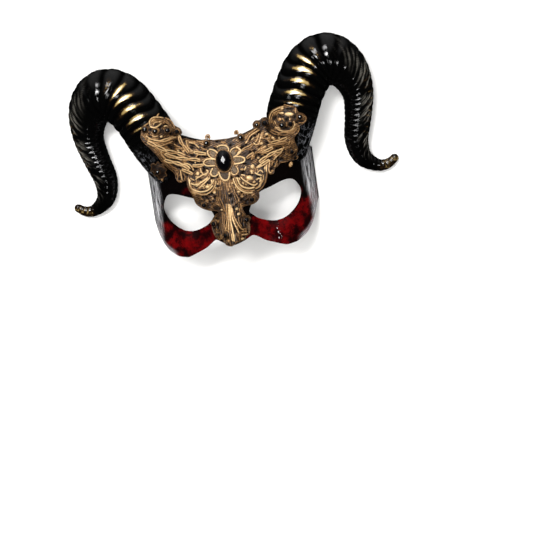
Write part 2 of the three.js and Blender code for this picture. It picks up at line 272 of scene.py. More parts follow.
@dataclass(frozen=True)
class FaceForm:
    """The front of the face, as a height over its own plane.

    The edges and the eye hole are the CAD source's. They started from points marked by eye on the
    photograph, which a scratch program turned into millimetres.
    """

    half_width: float = 71.5
    depth: float = 49.0
    forehead_from: float = 10.0
    forehead_fall: float = 0.0035
    nose_rise: float = 17.0
    nose_top: float = 8.0
    nose_length: float = 56.0
    nose_width: float = 9.0
    nose_spread: float = 4.0
    brow: Mound = Mound(3, 28, 3, 24, 10)
    socket: Mound = Mound(-7, 37, -22, 17, 15)
    cheek: Mound = Mound(3, 42, -50, 15, 12)
    lower_edge: tuple = (
        (0, -48), (9, -46), (16, -43), (25, -50), (42, -57),
        (51, -56), (60, -50.5), (67, -41), (71.5, -26),
    )
    upper_edge: tuple = (
        (0, 38), (12, 39.5), (24, 43), (36, 47.5),
        (50, 46), (60, 38), (67, 28), (71.5, 18),
    )
    eye_hole: tuple = (
        (15.5, -22), (24, -10.5), (34, -6.5), (50, -2.5), (57.5, -9),
        (58, -19), (50, -30), (38, -35.2), (25, -32.5), (17.5, -27),
    )

    def height(self, x: Array, y: Array) -> Array:
        """Height of the front: half an ellipse across, plus the nose, brow, socket and cheek.

        Args:
            x: places across the face.
            y: places up it.

        Returns:
            Height over the face's plane.
        """
        side = np.minimum(np.abs(x), self.half_width)
        rounding = np.sqrt(np.clip(1 - (side / self.half_width) ** 2, 0, None))
        depth = self.depth - self.forehead_fall * np.maximum(y - self.forehead_from, 0) ** 2
        down = smooth_step((self.nose_top - y) / self.nose_length)
        nose_width = self.nose_width + self.nose_spread * down
        nose = self.nose_rise * down * np.exp(-((side / nose_width) ** 2))
        relief = nose + self.brow.at(side, y) + self.socket.at(side, y) + self.cheek.at(side, y)
        return depth * rounding + relief * np.minimum(1, 2 * rounding)

    def edge(self, points: tuple, x: Array, ease: float = 2.0) -> Array:
        """Height of an edge over x: its straight stretches, averaged over a short reach.

        Args:
            points: the edge's points.
            x: distances from the middle.
            ease: reach of the averaging.

        Returns:
            The edge's height at each x.
        """
        px, py = np.array(points, float).T
        reach = np.linspace(-2, 2, 17) * ease
        weight = np.exp(-((reach / ease) ** 2))
        sides = np.abs(np.abs(np.asarray(x, float))[..., None] + reach)
        return (np.interp(sides, px, py) * weight).sum(-1) / weight.sum()

    def top(self, x: Array) -> Array:
        """Height of the upper edge over x, level past the sides."""
        return self.edge(self.upper_edge, np.minimum(np.abs(x), self.half_width))


@dataclass(frozen=True)
class HornForm:
    """A horn's centre line, thickness and ridges. The right horn; the left one is its mirror image.

    The line is the CAD source's. A scratch program fitted x, y and radius to both horns' outlines in
    the photograph, and they were then averaged, rounded and partly adjusted.
    """

    line: tuple = (
        (51, 16, 21, 15),
        (54.5, 32, 28, 19.3),
        (60.4, 50, 31.5, 21.4),
        (68.6, 67, 29, 21),
        (79.5, 82.5, 25, 21.8),
        (91, 88.8, 22.8, 22.3),
        (101.8, 86.2, 20.8, 21.4),
        (111.9, 74.9, 17, 17.5),
        (116.5, 56.4, 12.9, 13.2),
        (113.5, 36.7, 11, 11.3),
        (109, 17, 9.7, 10),
        (111.8, 1.5, 7.7, 7.9),
        (122.5, -7.5, 5.2, 5.3),
        (132, -8, 4.1, 4.2),
        (141, -2.4, 3.1, 3.1),
    )
    turn: float = 1.5
    shift: float = 2.0
    smooth_root: float = 46.0
    step_root: float = 10.0
    step_tip: float = 4.6
    rise_root: float = 1.5
    rise_tip: float = 0.35
    bend_reach: float = 0.9
    samples: int = 1401

    def dense(self) -> tuple[Array, Array]:
        """The centre line with its radius at many points, and the distance along it."""
        points = spline(self.line, self.samples)
        return points, distances(points[:, :3])

    def place(self, points: Array, side: int) -> Array:
        """Points of the right horn carried to their place on the mask.

        Args:
            points: points in the horn's own place.
            side: 1 for the right horn, -1 for the left.

        Returns:
            The points mirrored, turned about Z and shifted.
        """
        x, y = turned(side * points[:, 0], points[:, 1], math.radians(self.turn))
        return np.stack([x + self.shift, y, points[:, 2]], axis=1)


@dataclass(frozen=True)
class LaceGround:
    """The surface that the lace lies on: the shell and the horns' roots, blended where they meet.

    Each root is given by a row of balls along the first share, reach, of the horn's line.
    """

    face: FaceForm
    horn: HornForm
    blend: float = 5.0
    steep: float = 0.78
    balls: int = 36
    reach: float = 0.32
    slope_step: float = 0.6

    def horn_height(self, x: Array, y: Array) -> Array:
        """Height of the horn's front: the highest of a row of balls, each with a straight skirt.

        Args:
            x: places across the face.
            y: places up it.

        Returns:
            The height at each place.
        """
        points, _ = self.horn.dense()
        at = np.round(np.linspace(0, self.reach, self.balls) * (len(points) - 1)).astype(int)
        cx, cy, cz, radius = points[at].T
        ox, oy = turned(x - self.horn.shift, y, math.radians(-self.horn.turn))
        away = np.hypot(np.abs(ox)[..., None] - cx, oy[..., None] - cy)
        on_ball = np.minimum(away, self.steep * radius)
        slope = self.steep / math.sqrt(1 - self.steep**2)
        return (cz + np.sqrt(radius**2 - on_ball**2) - slope * (away - on_ball)).max(-1)

    def height(self, x: Array, y: Array) -> Array:
        """Height of the ground: the higher of shell and horn, eased where they are close.

        Args:
            x: places across the face.
            y: places up it.

        Returns:
            The height at each place.
        """
        shell = self.face.height(x, y)
        horn = self.horn_height(x, y)
        gap = np.abs(shell - horn)
        ease = np.where(gap < self.blend, (self.blend - gap) ** 2 / (4 * self.blend), 0)
        return np.maximum(shell, horn) + ease

    def lift(self, flat: Array, offset: float | Array) -> tuple[Array, Array]:
        """Points of a flat drawing raised onto the ground.

        Args:
            flat: points by (x, y).
            offset: height above the ground.

        Returns:
            The raised points and the ground's outward directions there.
        """
        x, y = flat[:, 0], flat[:, 1]
        step = self.slope_step
        slope_x = (self.height(x + step, y) - self.height(x - step, y)) / (2 * step)
        slope_y = (self.height(x, y + step) - self.height(x, y - step)) / (2 * step)
        outward = np.stack([-slope_x, -slope_y, np.ones_like(x)], axis=1)
        return np.stack([x, y, self.height(x, y) + offset], axis=1), unit(outward)


FACE = FaceForm()
HORN = HornForm()
GROUND = LaceGround(FACE, HORN)


@dataclass(frozen=True)
class GemSizes:
    """The stone's place and size."""

    x: float = 0.0
    y: float = 21.5
    width: float = 13.0
    height: float = 17.8


GEM = GemSizes()


def frame_shift() -> Array:
    """From the mask's own millimetres to the row frame, read from the gem's CAD node.

    Returns:
        The shift in millimetres.
    """
    low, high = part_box("gem")
    middle = (np.array(low) + np.array(high)) / 2 / MM
    return np.array([middle[0] - GEM.x, middle[1] - GEM.y, 0.0])


SHIFT = frame_shift()
BEAD_COUNT = 19
BEADS = tuple(f"bead_{number:02d}" for number in range(1, BEAD_COUNT + 1))


def node_box(node: str) -> tuple[Array, Array]:
    """A CAD node's lowest and highest corner, in the mask's millimetres."""
    low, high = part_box(node)
    return np.array(low) / MM - SHIFT, np.array(high) / MM - SHIFT


# Meshes


class Slot(Enum):
    """The record's material slots."""

    SHELL = "shell_lacquer"
    HORN = "horn_black"
    LACE = "gold_lace"
    STONE = "black_stone"


def add_object(name: str, data: bpy.types.ID) -> Object:
    """A new object in the scene.

    Args:
        name: the object's name.
        data: its mesh, lamp or camera.

    Returns:
        The object.
    """
    made = bpy.data.objects.new(name, data)
    bpy.context.scene.collection.objects.link(made)
    return made


def add_piece(name: str, mesh: bpy.types.Mesh, nodes: Sequence[str]) -> Object:
    """A mesh as one visible piece, on the root body.

    Args:
        name: the piece's name.
        mesh: its mesh, in the row frame.
        nodes: CAD nodes that it stands for.

    Returns:
        The new object.
    """
    piece = add_object(name, mesh)
    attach(piece, "root")
    if nodes:
        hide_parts(*nodes)
    return piece


def make_piece(
    name: str,
    points: Array,
    faces: Array,
    nodes: Sequence[str],
    floats: dict[str, Array],
    uv: Optional[Array] = None,
) -> Object:
    """A smooth-shaded piece from points and faces.

    Args:
        name: the piece's name.
        points: points in the mask's millimetres.
        faces: faces by three or four indices.
        nodes: CAD nodes that it stands for.
        floats: named numbers kept for each point.
        uv: a flat place for each point.

    Returns:
        The new object.
    """
    mesh = bpy.data.meshes.new(name)
    placed = (points + SHIFT) * MM
    count, sides = faces.shape
    mesh.vertices.add(len(placed))
    mesh.vertices.foreach_set("co", placed.astype(np.float32).ravel())
    mesh.loops.add(count * sides)
    mesh.loops.foreach_set("vertex_index", faces.astype(np.int32).ravel())
    mesh.polygons.add(count)
    mesh.polygons.foreach_set("loop_start", np.arange(0, count * sides, sides, dtype=np.int32))
    mesh.polygons.foreach_set("use_smooth", np.full(count, True))
    mesh.update(calc_edges=True)
    for key, values in floats.items():
        layer = mesh.attributes.new(key, "FLOAT", "POINT")
        layer.data.foreach_set("value", values.astype(np.float32).ravel())
    if uv is not None:
        layer = mesh.uv_layers.new(name="along")
        layer.data.foreach_set("uv", uv[faces.ravel()].astype(np.float32).ravel())
    mesh.validate()
    return add_piece(name, mesh, nodes)


def weld(piece: Object, reach: float) -> None:
    """Merges points closer than reach, in metres, which closes seams and poles.

    Args:
        piece: a mesh object.
        reach: how near points are to be merged.
    """
    work = bmesh.new()
    work.from_mesh(piece.data)
    bmesh.ops.remove_doubles(work, verts=work.verts, dist=reach)
    work.to_mesh(piece.data)
    work.free()


def add_wall(piece: Object, thickness: float) -> bpy.types.Modifier:
    """Gives a sheet a wall behind its front, of a thickness in millimetres.

    Args:
        piece: the sheet.
        thickness: the wall, in millimetres.

    Returns:
        The wall, for further settings.
    """
    wall = piece.modifiers.new("wall", "SOLIDIFY")
    wall.thickness = thickness * MM
    wall.offset = -1
    return wall


@dataclass
class MeshHeap:
    """Collects many small surfaces that end up in one mesh."""

    points: list = field(default_factory=list)
    faces: list = field(default_factory=list)
    uvs: list = field(default_factory=list)
    tones: list = field(default_factory=list)
    count: int = 0

    def add(self, points: Array, faces: Array, uv: Array, tone: Array | float) -> None:
        """Adds one surface, its flat places and its tone, one for all or one for each point.

        Args:
            points: the surface's points.
            faces: its faces, by its own points.
            uv: a flat place for each point.
            tone: its tone, one for all points or one for each.
        """
        self.points.append(points)
        self.faces.append(faces + self.count)
        self.uvs.append(uv)
        self.tones.append(np.broadcast_to(tone, len(points)))
        self.count += len(points)

    def piece(self, name: str, nodes: Sequence[str], finish: Material) -> Object:
        """The heap as one closed piece of the lace, with a tone for each point.

        Args:
            name: the piece's name.
            nodes: CAD nodes that it stands for.
            finish: its material.

        Returns:
            The new object.
        """
        piece = make_piece(
            name,
            np.vstack(self.points),
            np.vstack(self.faces),
            nodes,
            floats={"tone": np.concatenate(self.tones)},
            uv=np.vstack(self.uvs),
        )
        weld(piece, CLOSE)
        piece.data.materials.append(finish)
        return piece


# Finishes


def add_node(
    tree: bpy.types.NodeTree,
    kind: str,
    links: Optional[dict] = None,
    **settings,
) -> bpy.types.Node:
    """Adds a node with its settings and links.

    Args:
        tree: the material's tree.
        kind: the node's type.
        links: input name or number to a value or an output socket.
        settings: properties of the node itself.

    Returns:
        The new node.
    """
    node = tree.nodes.new(kind)
    for key, value in settings.items():
        setattr(node, key, value)
    for key, value in (links or {}).items():
        socket = node.inputs[key]
        if isinstance(value, Socket):
            tree.links.new(value, socket)
        else:
            socket.default_value = value
    return node


@dataclass
class Recipe:
    """A material under construction, with short ways to add what finishes share."""

    name: str

    def __post_init__(self) -> None:
        """Starts an empty material with a shader and an output."""
        self.material = bpy.data.materials.new(self.name)
        self.material.use_nodes = True
        self.tree = self.material.node_tree
        self.tree.nodes.clear()
        self.shader = add_node(self.tree, "ShaderNodeBsdfPrincipled")
        out = add_node(self.tree, "ShaderNodeOutputMaterial")
        self.tree.links.new(self.shader.outputs["BSDF"], out.inputs["Surface"])
        self.coords = add_node(self.tree, "ShaderNodeTexCoord").outputs["Object"]

    def set(self, **values) -> None:
        """Sets the shader's own sockets; underscores in a name stand for spaces."""
        for key, value in values.items():
            self.shader.inputs[key.replace("_", " ")].default_value = value

    def link(self, socket: str, output: Socket) -> None:
        """Feeds one of the shader's sockets."""
        self.tree.links.new(output, self.shader.inputs[socket])

    def stretched(self, scale: tuple[float, float, float]) -> Socket:
        """Object coordinates scaled by axis."""
        node = add_node(self.tree, "ShaderNodeMapping", {"Vector": self.coords, "Scale": scale})
        return node.outputs["Vector"]

    def uv(self) -> Socket:
        """The mesh's own flat places, in millimetres."""
        return add_node(self.tree, "ShaderNodeUVMap", uv_map="along").outputs["UV"]

    def clouds(
        self,
        size_mm: float,
        detail: float = 4,
        rough: float = 0.6,
        vector: Optional[Socket] = None,
    ) -> Socket:
        """Cloudy noise whose lumps are about size_mm across.

        Args:
            size_mm: how wide the lumps are.
            detail: how many finer layers it has.
            rough: how strong these are.
            vector: coordinates other than the object's own.

        Returns:
            The noise, 0 to 1.
        """
        links = {"Vector": vector or self.coords, "Detail": detail, "Roughness": rough}
        links["Scale"] = 1 / (size_mm * MM)
        return add_node(self.tree, "ShaderNodeTexNoise", links).outputs["Fac"]

    def bands(self, pitch_mm: float, direction: str, **extra: float) -> Socket:
        """Bands across the mesh's flat places.

        Args:
            pitch_mm: the distance of straight bands; slanting ones lie wider.
            direction: the texture's own word for the way they run.
            extra: further inputs of the texture.

        Returns:
            The bands' height, 0 to 1.
        """
        links = {"Vector": self.uv(), "Scale": WAVE_BAND / pitch_mm, **extra}
        kind = "ShaderNodeTexWave"
        node = add_node(self.tree, kind, links, wave_type="BANDS", bands_direction=direction)
        return node.outputs["Fac"]

    def number(self, name: str) -> Socket:
        """A number kept for each point of the mesh."""
        return add_node(self.tree, "ShaderNodeAttribute", attribute_name=name).outputs["Fac"]

    def ramp(self, value: Socket, low: float, high: float, a: float = 0, b: float = 1) -> Socket:
        """A smooth step of a value from a at low to b at high.

        Args:
            value: what is compared.
            low: where the step starts.
            high: where it ends.
            a: the result at low.
            b: the result at high.

        Returns:
            The result, between a and b.
        """
        links = {"Value": value, "From Min": low, "From Max": high, "To Min": a, "To Max": b}
        node = add_node(self.tree, "ShaderNodeMapRange", links, interpolation_type="SMOOTHSTEP")
        return node.outputs["Result"]

    def maths(self, kind: str, a: Value, b: Value = 0.0) -> Socket:
        """One sum on two values."""
        node = add_node(self.tree, "ShaderNodeMath", {0: a, 1: b}, operation=kind)
        return node.outputs["Value"]

    def sway(self, value: Socket, noise: Socket, reach: float, middle: float = 0.5) -> Socket:
        """A value unsettled by noise: value + (noise - middle) reach."""
        push = self.maths("MULTIPLY", self.maths("SUBTRACT", noise, middle), reach)
        return self.maths("ADD", value, push)

    def mix(self, share: Value, a: Tint, b: Tint) -> Socket:
        """A mix of two colours, each a hex value or a socket.

        Args:
            share: how much of the second colour shows.
            a: the first colour.
            b: the second.

        Returns:
            The mixed colour.
        """
        node = add_node(self.tree, "ShaderNodeMix", data_type="RGBA")
        for index, value in ((0, share), (6, a), (7, b)):
            if isinstance(value, Socket):
                self.tree.links.new(value, node.inputs[index])
            else:
                plain = to_linear(value) if isinstance(value, str) else value
                node.inputs[index].default_value = plain
        return node.outputs[2]

    def layers(self, value: Socket, base: str, *upper: tuple[float, float, str]) -> Socket:
        """Colours laid one over another while a value rises.

        Args:
            value: what decides between the colours.
            base: the colour where the value is low.
            upper: for each further colour, where it begins to show, where it covers, and its code.

        Returns:
            The colour.
        """
        colour = base
        for low, high, code in upper:
            colour = self.mix(self.ramp(value, low, high), colour, code)
        return colour

    def two_tones(self, noise: Socket, low: float, high: float, dark: str, light: str) -> None:
        """Colours the surface with two tones, the second where the noise is high."""
        self.link("Base Color", self.mix(self.ramp(noise, low, high), dark, light))

    def bump(self, height: Socket, depth_mm: float, under: Optional[Socket] = None) -> Socket:
        """A bumped normal whose relief is depth_mm deep.

        Args:
            height: the relief.
            depth_mm: how deep it is.
            under: a normal to lay it on.

        Returns:
            The normal.
        """
        links = {"Height": height, "Distance": depth_mm * MM, "Strength": 1.0}
        if under is not None:
            links["Normal"] = under
        return add_node(self.tree, "ShaderNodeBump", links).outputs["Normal"]


@dataclass(frozen=True)
class LacqueredShell:
    """Lacquered papier-mache: black brushed into deep red, under a thick glossy varnish, with a pale
    streaky band of painted reflection down the temples.
    """

    black: str = "040202"
    dark_red: str = "120102"
    red: str = "5c0406"
    grey: str = "d2d1d4"
    mottle_mm: float = 9.0

    def build(self) -> Material:
        """The varnish is smooth and clear, with slow dents from the paper below it.

        Returns:
            The finished material.
        """
        r = Recipe("lacquered papier-mache")
        mottle = r.clouds(self.mottle_mm, 5, 0.57)
        fine = r.clouds(1.6, 3, 0.6)
        reds = r.mix(r.ramp(mottle, 0.37, 0.68), self.dark_red, self.red)
        reds = r.mix(r.ramp(fine, 0.5, 0.75, 0, 0.25), reds, self.black)
        edge = r.sway(r.number("redness"), mottle, 0.9)
        paint = r.mix(r.ramp(edge, 0.35, 0.7), self.black, reds)
        # The pale grey band on the temples is a painted reflection on the glossy lacquer, laid in
        # streaks.
        streak_map = add_node(r.tree, "ShaderNodeMapping", {"Vector": r.uv(), "Scale": (1.1, 0.05, 1.0)})
        streak_noise = {"Vector": streak_map.outputs["Vector"], "Scale": 1.0, "Detail": 4.0, "Roughness": 0.7}
        streak = add_node(r.tree, "ShaderNodeTexNoise", streak_noise).outputs["Fac"]
        sheen_band = r.maths("MULTIPLY", r.number("sheen_band"), r.ramp(streak, 0.43, 0.6, 0.04, 1.0))
        r.link("Base Color", r.mix(sheen_band, paint, self.grey))
        r.set(Roughness=0.5, Specular_IOR_Level=0.0, Coat_Weight=1.0, Coat_Roughness=0.09)
        dents = r.bump(r.clouds(9, 2, 0.5), 0.2)
        r.link("Normal", r.bump(r.clouds(1.2, 3), 0.05, dents))
        r.link("Coat Normal", dents)
        return r.material


@dataclass(frozen=True)
class MattInside:
    """Bare blackened papier-mache inside the shell, rough to the touch."""

    black: str = "121010"
    worn: str = "2a2522"

    def build(self) -> Material:
        """Dull fibres and slight greying.

        Returns:
            The finished material.
        """
        r = Recipe("blackened papier-mache")
        r.two_tones(r.clouds(6, 5, 0.7), 0.45, 0.75, self.black, self.worn)
        r.set(Roughness=0.85)
        r.link("Normal", r.bump(r.clouds(0.9, 4), 0.12))
        return r.material


@dataclass(frozen=True)
class WornEdge:
    """The cut edge of the shell, where the lacquer is rubbed down to greyish board."""

    dark: str = "1c1512"
    board: str = "7c6a5c"

    def build(self) -> Material:
        """Broken grey-brown line on black.

        Returns:
            The finished material.
        """
        r = Recipe("rubbed board edge")
        r.two_tones(r.clouds(3.5, 5, 0.7), 0.4, 0.62, self.dark, self.board)
        r.set(Roughness=0.5)
        r.link("Normal", r.bump(r.clouds(0.8, 3), 0.08))
        return r.material


@dataclass(frozen=True)
class RubbedAndHighlitHorn:
    """Cast horn, painted glossy black, with gold wax rubbed on the crests of its ridges and painted
    highlight in pale gold and grey.
    """

    black: str = "020202"
    brown: str = "1f1409"
    gold: str = "ab9058"
    pale: str = "f0e8d0"
    crease_highlight: str = "7e7f84"
    wrinkle_glint_grey: str = "8a867d"

    def build(self) -> Material:
        """Gold on the crests, broken by grain, partly painted highlight along the front; wax dulls the
        grooves near the root.

        Returns:
            The finished material.
        """
        r = Recipe("gold rubbed and highlit black horn")
        grain = r.clouds(2.4, 5, 0.7)
        patch = r.clouds(9, 3, 0.6)
        gold_and_highlight = r.sway(r.sway(r.number("gold_and_highlight"), grain, 0.9), patch, 0.6)
        # The palest gold, nearly white, is painted highlight.
        gold = r.mix(r.ramp(gold_and_highlight, 0.72, 1.15), self.gold, self.pale)
        body = r.mix(r.ramp(gold_and_highlight, 0.2, 0.5), self.black, self.brown)
        share = r.ramp(gold_and_highlight, 0.42, 0.72)
        # Thin pale grey lines on the root's creases: painted highlight.
        crinkle = r.clouds(7, 5, 0.65, r.stretched((1.0, 0.5, 1.0)))
        ridge = r.maths("ABSOLUTE", r.maths("SUBTRACT", crinkle, 0.5))
        crease_highlight = r.maths("MULTIPLY", r.number("crease_highlight"), r.ramp(ridge, 0.022, 0.0))
        # Pale grey on the wrinkles past the bend: painted highlight.
        wrinkle_glint = r.maths("MULTIPLY", r.number("wrinkle"), 0.8)
        skin = r.mix(wrinkle_glint, r.mix(share, body, gold), self.wrinkle_glint_grey)
        r.link("Base Color", r.mix(crease_highlight, skin, self.crease_highlight))
        r.link("Metallic", r.maths("MULTIPLY", share, 0.5))
        r.link("Roughness", r.ramp(share, 0.0, 1.0, 0.5, 0.3))
        open_coat = r.maths("SUBTRACT", 1.0, r.number("groove"))
        r.link("Coat Weight", r.maths("MULTIPLY", r.ramp(share, 0.0, 1.0, 1.0, 0.6), open_coat))
        r.set(Specular_IOR_Level=0.0, Coat_Roughness=0.08)
        grained = r.bump(r.clouds(1.5, 4, 0.7), 0.08)
        r.link("Normal", grained)
        r.link("Coat Normal", grained)
        return r.material


@dataclass(frozen=True)
class GoldLace:
    """Corded lace, stiffened and gilded: twisted cords whose flanks are darkened with painted shade."""

    shade: str = "1a0f08"
    brown: str = "5e4226"
    gold: str = "ab8153"
    light: str = "dcbb88"
    twist_mm: float = 1.2

    def build(self) -> Material:
        """The twist of a cord is drawn about twice as coarse as real, so that it shows.

        Returns:
            The finished material.
        """
        r = Recipe("gilded corded lace")
        twist = r.bands(self.twist_mm, "DIAGONAL", Distortion=0.8, Detail=1.0)
        patch = r.clouds(3.5, 4, 0.65)
        tone = r.sway(r.sway(r.number("tone"), patch, 0.9), twist, 0.22)
        upper = ((-0.15, 0.3, self.brown), (0.3, 0.65, self.gold), (0.65, 1.05, self.light))
        r.link("Base Color", r.layers(tone, self.shade, *upper))
        r.set(Metallic=0.25, Roughness=0.4)
        r.link("Normal", r.bump(twist, 0.12))
        return r.material


@dataclass(frozen=True)
class StitchedCloth:
    """The lace's ground: rows of satin stitch, darker between the rows and paler on their tops."""

    shade: str = "150c06"
    brown: str = "4f361f"
    gold: str = "9a7245"
    light: str = "c9a270"
    row_mm: float = 1.5

    def build(self) -> Material:
        """Rows are about twice as far apart as real ones, so that they show.

        Returns:
            The finished material.
        """
        r = Recipe("gilded satin stitch")
        waver = {"Distortion": 3.0, "Detail": 2.0, "Detail Scale": 1.5}
        rows = r.bands(self.row_mm, "X", **waver)
        patch = r.clouds(2.2, 4, 0.7)
        tone = r.sway(r.sway(r.number("tone"), patch, 1.6, middle=0.57), rows, 0.55)
        upper = ((-0.1, 0.35, self.brown), (0.3, 0.7, self.gold), (0.7, 1.1, self.light))
        r.link("Base Color", r.layers(tone, self.shade, *upper))
        r.set(Metallic=0.2, Roughness=0.45)
        r.link("Normal", r.bump(rows, 0.25))
        return r.material


@dataclass(frozen=True)
class GapShadeTulle:
    """A fine tulle under the stitches, nearly black and seen only through the gaps: painted shade for the
    dark in them.
    """

    shade: str = "0a0604"
    thread: str = "21160d"

    def build(self) -> Material:
        """A dull net with no shine of its own.

        Returns:
            The finished material.
        """
        r = Recipe("gap shade tulle")
        r.two_tones(r.clouds(1.2, 3), 0.4, 0.65, self.shade, self.thread)
        r.set(Roughness=0.9, Specular_IOR_Level=0.1)
        return r.material


@dataclass(frozen=True)
class BrownNet:
    """Fine dark net stretched inside the petals and under the cords, dusted with old gold."""

    shade: str = "120b06"
    thread: str = "3a2d22"
    dusted: str = "7d684f"
    mesh_mm: float = 1.1

    def build(self) -> Material:
        """Its meshes are drawn about twice as wide as real, so that they show.

        Returns:
            The finished material.
        """
        r = Recipe("old gold net")
        links = {"Vector": r.coords, "Scale": 1 / (self.mesh_mm * MM)}
        cells = add_node(r.tree, "ShaderNodeTexVoronoi", links, feature="DISTANCE_TO_EDGE")
        threads = r.ramp(cells.outputs["Distance"], 0.05, 0.25, 1, 0)
        thread = r.mix(r.ramp(r.number("tone"), 0.1, 0.7), self.thread, self.dusted)
        r.link("Base Color", r.mix(threads, self.shade, thread))
        r.set(Roughness=0.6, Metallic=0.15)
        r.link("Normal", r.bump(threads, 0.15))
        return r.material


@dataclass(frozen=True)
class CutStone:
    """Polished black glass, cut with facets."""

    black: str = "020203"
    smoky: str = "060508"

    def build(self) -> Material:
        """Nearly no colour of its own: only what its facets mirror.

        Returns:
            The finished material.
        """
        r = Recipe("cut black glass")
        r.two_tones(r.clouds(3, 2), 0.4, 0.7, self.black, self.smoky)
        r.set(Roughness=0.12, IOR=1.6)
        return r.material


@dataclass(frozen=True)
class PaperFloor:
    """A pale studio floor of matt paper."""

    pale: str = "f4f3f1"
    paler: str = "f8f7f5"

    def build(self) -> Material:
        """Plain, with hardly any grain.

        Returns:
            The finished material.
        """
        r = Recipe("pale studio paper")
        r.two_tones(r.clouds(40, 3), 0.3, 0.7, self.pale, self.paler)
        r.set(Roughness=0.9)
        return r.material


# Sub-assemblies


@dataclass
class FaceShell:
    """The thin moulded shell with its two eye holes.

    side_shares is how the points round the border are shared between the middle, the upper edge, the
    temple and the lower edge. The crack's marks are pixels of the photograph. temple_sheen_tops is how
    high the pale bands of painted reflection reach on the left and on the right temple.
    """

    wall: float = 2.4
    rim_rounding: float = 0.7
    sharp_angle: float = 50.0
    around: int = 296
    outward: int = 56
    side_shares: tuple = (0.2, 0.32, 0.14, 0.34)
    crowding: float = 1.25
    hole_samples: int = 720
    hole_pull: float = 0.6
    temple_ease: float = 9.0
    folds_from: tuple = (52, 46)
    seat_folds: float = 0.9
    folds_per_radian: float = 11.0
    crack_lip: float = 0.42
    crack_marks: tuple = ((277, 219), (278.4, 226), (279.4, 232), (281.4, 238.5))
    brow_patch: Mound = Mound(0.75, -33, -1, 9, 5)
    nose_glow: Mound = Mound(0.45, 20, -10, 12, 7)
    temple_sheen_tops: tuple = (25, 22)

    def half(self) -> tuple[Array, Array]:
        """The right half of the front.

        A ring of points round the eye hole is joined by straight lines, in the plane where the
        shell is unrolled, to the half's own border: point = hole + (border - hole) t.

        Returns:
            Points and faces.
        """
        border = self.border()
        inner = self.hole(border)
        t = np.linspace(0, 1, self.outward)[:, None, None] ** self.crowding
        u, y = (inner + (border - inner) * t).reshape(-1, 2).T
        end = self.unrolled()
        x = FACE.half_width * np.sin(np.minimum(u, end) / FACE.half_width)
        z = np.where(u < end - CLOSE, FACE.height(x, y), 0)
        return np.stack([x, y, z], axis=1), grid_faces(self.outward, len(border), wrap=True)

    def unrolled(self) -> float:
        """How wide a half of the shell is once it is unrolled."""
        return FACE.half_width * math.pi / 2

    def border(self) -> Array:
        """The unrolled half's border: up the middle, out above, down the temple and back below.

        Returns:
            Points by (unrolled x, y).
        """
        counts = np.round(np.array(self.side_shares) * self.around).astype(int)
        up, out, down, back = (np.linspace(0, 1, count, endpoint=False) for count in counts)
        end = self.unrolled()
        corners = np.array([0, end])
        low, high = self.edge_over(FACE.lower_edge, corners), self.edge_over(FACE.upper_edge, corners)
        outward, inward = end * out, end * (1 - back)
        return np.vstack([
            np.column_stack([0 * up, low[0] + (high[0] - low[0]) * up]),
            np.column_stack([outward, self.edge_over(FACE.upper_edge, outward)]),
            np.column_stack([end + 0 * down, high[1] + (low[1] - high[1]) * down]),
            np.column_stack([inward, self.edge_over(FACE.lower_edge, inward)]),
        ])

    def edge_over(self, edge: tuple, u: Array) -> Array:
        """Height of an edge over the unrolled shell, brought to its last point at the temple rim.

        Args:
            edge: points of the upper or lower edge.
            u: places across the unrolled shell.

        Returns:
            The edge's height at each place.
        """
        width = FACE.half_width
        x = width * np.sin(u / width)
        miss = edge[-1][1] - FACE.edge(edge, np.array([width]))[0]
        return FACE.edge(edge, x) + miss * smooth_step(x, width - self.temple_ease, width)

    def hole(self, border: Array) -> Array:
        """Points on the unrolled eye hole's edge, each in line with its middle and a border point.

        Args:
            border: the half's border.

        Returns:
            As many points, by (unrolled x, y).
        """
        edge = spline(FACE.eye_hole, self.hole_samples, closed=True, pull=self.hole_pull)
        edge[:, 0] = FACE.half_width * np.arcsin(np.clip(edge[:, 0] / FACE.half_width, -1, 1))
        middle = edge.mean(0)
        x, y = (edge - middle).T
        turn, reach = np.arctan2(y, x), np.hypot(x, y)
        order = np.argsort(turn)
        to_x, to_y = (border - middle).T
        away = np.interp(np.arctan2(to_y, to_x), turn[order], reach[order], period=FULL_TURN)
        return middle + unit(border - middle) * away[:, None]

    def folds(self, points: Array) -> Array:
        """Crumpled skin below a horn's root: creases that fan out over the temple, always inwards.

        Args:
            points: the shell's points.

        Returns:
            How far each one moves out, never above 0.
        """
        x, y = np.abs(points[:, 0]), points[:, 1]
        from_x, from_y = x - self.folds_from[0], y - self.folds_from[1]
        angle, away = np.arctan2(from_y, from_x), np.hypot(from_x, from_y)
        wavy = 2.2 * np.sin(away * 0.16) + 1.3 * waves(x, y, 5, 0.12)
        crease = np.abs(np.sin(angle * self.folds_per_radian + wavy))
        where = smooth_step(x, 54, 62) * smooth_step(y, 0, 12)
        return -self.seat_folds * where * (1 - crease**0.7)

    def crack(self, points: Array) -> Array:
        """A fine crack in the right cheek's varnish, with raised lips that catch the light.

        Args:
            points: the shell's points.

        Returns:
            How far each one moves out.
        """
        line = even(VIEW.on_lace(self.crack_marks), 0.25)
        away = np.linalg.norm(points[:, None, :2] - line[None], axis=-1).min(1)
        return self.crack_lip * (hill(away, 0.6, 0.5) - hill(away, 0, 0.4))

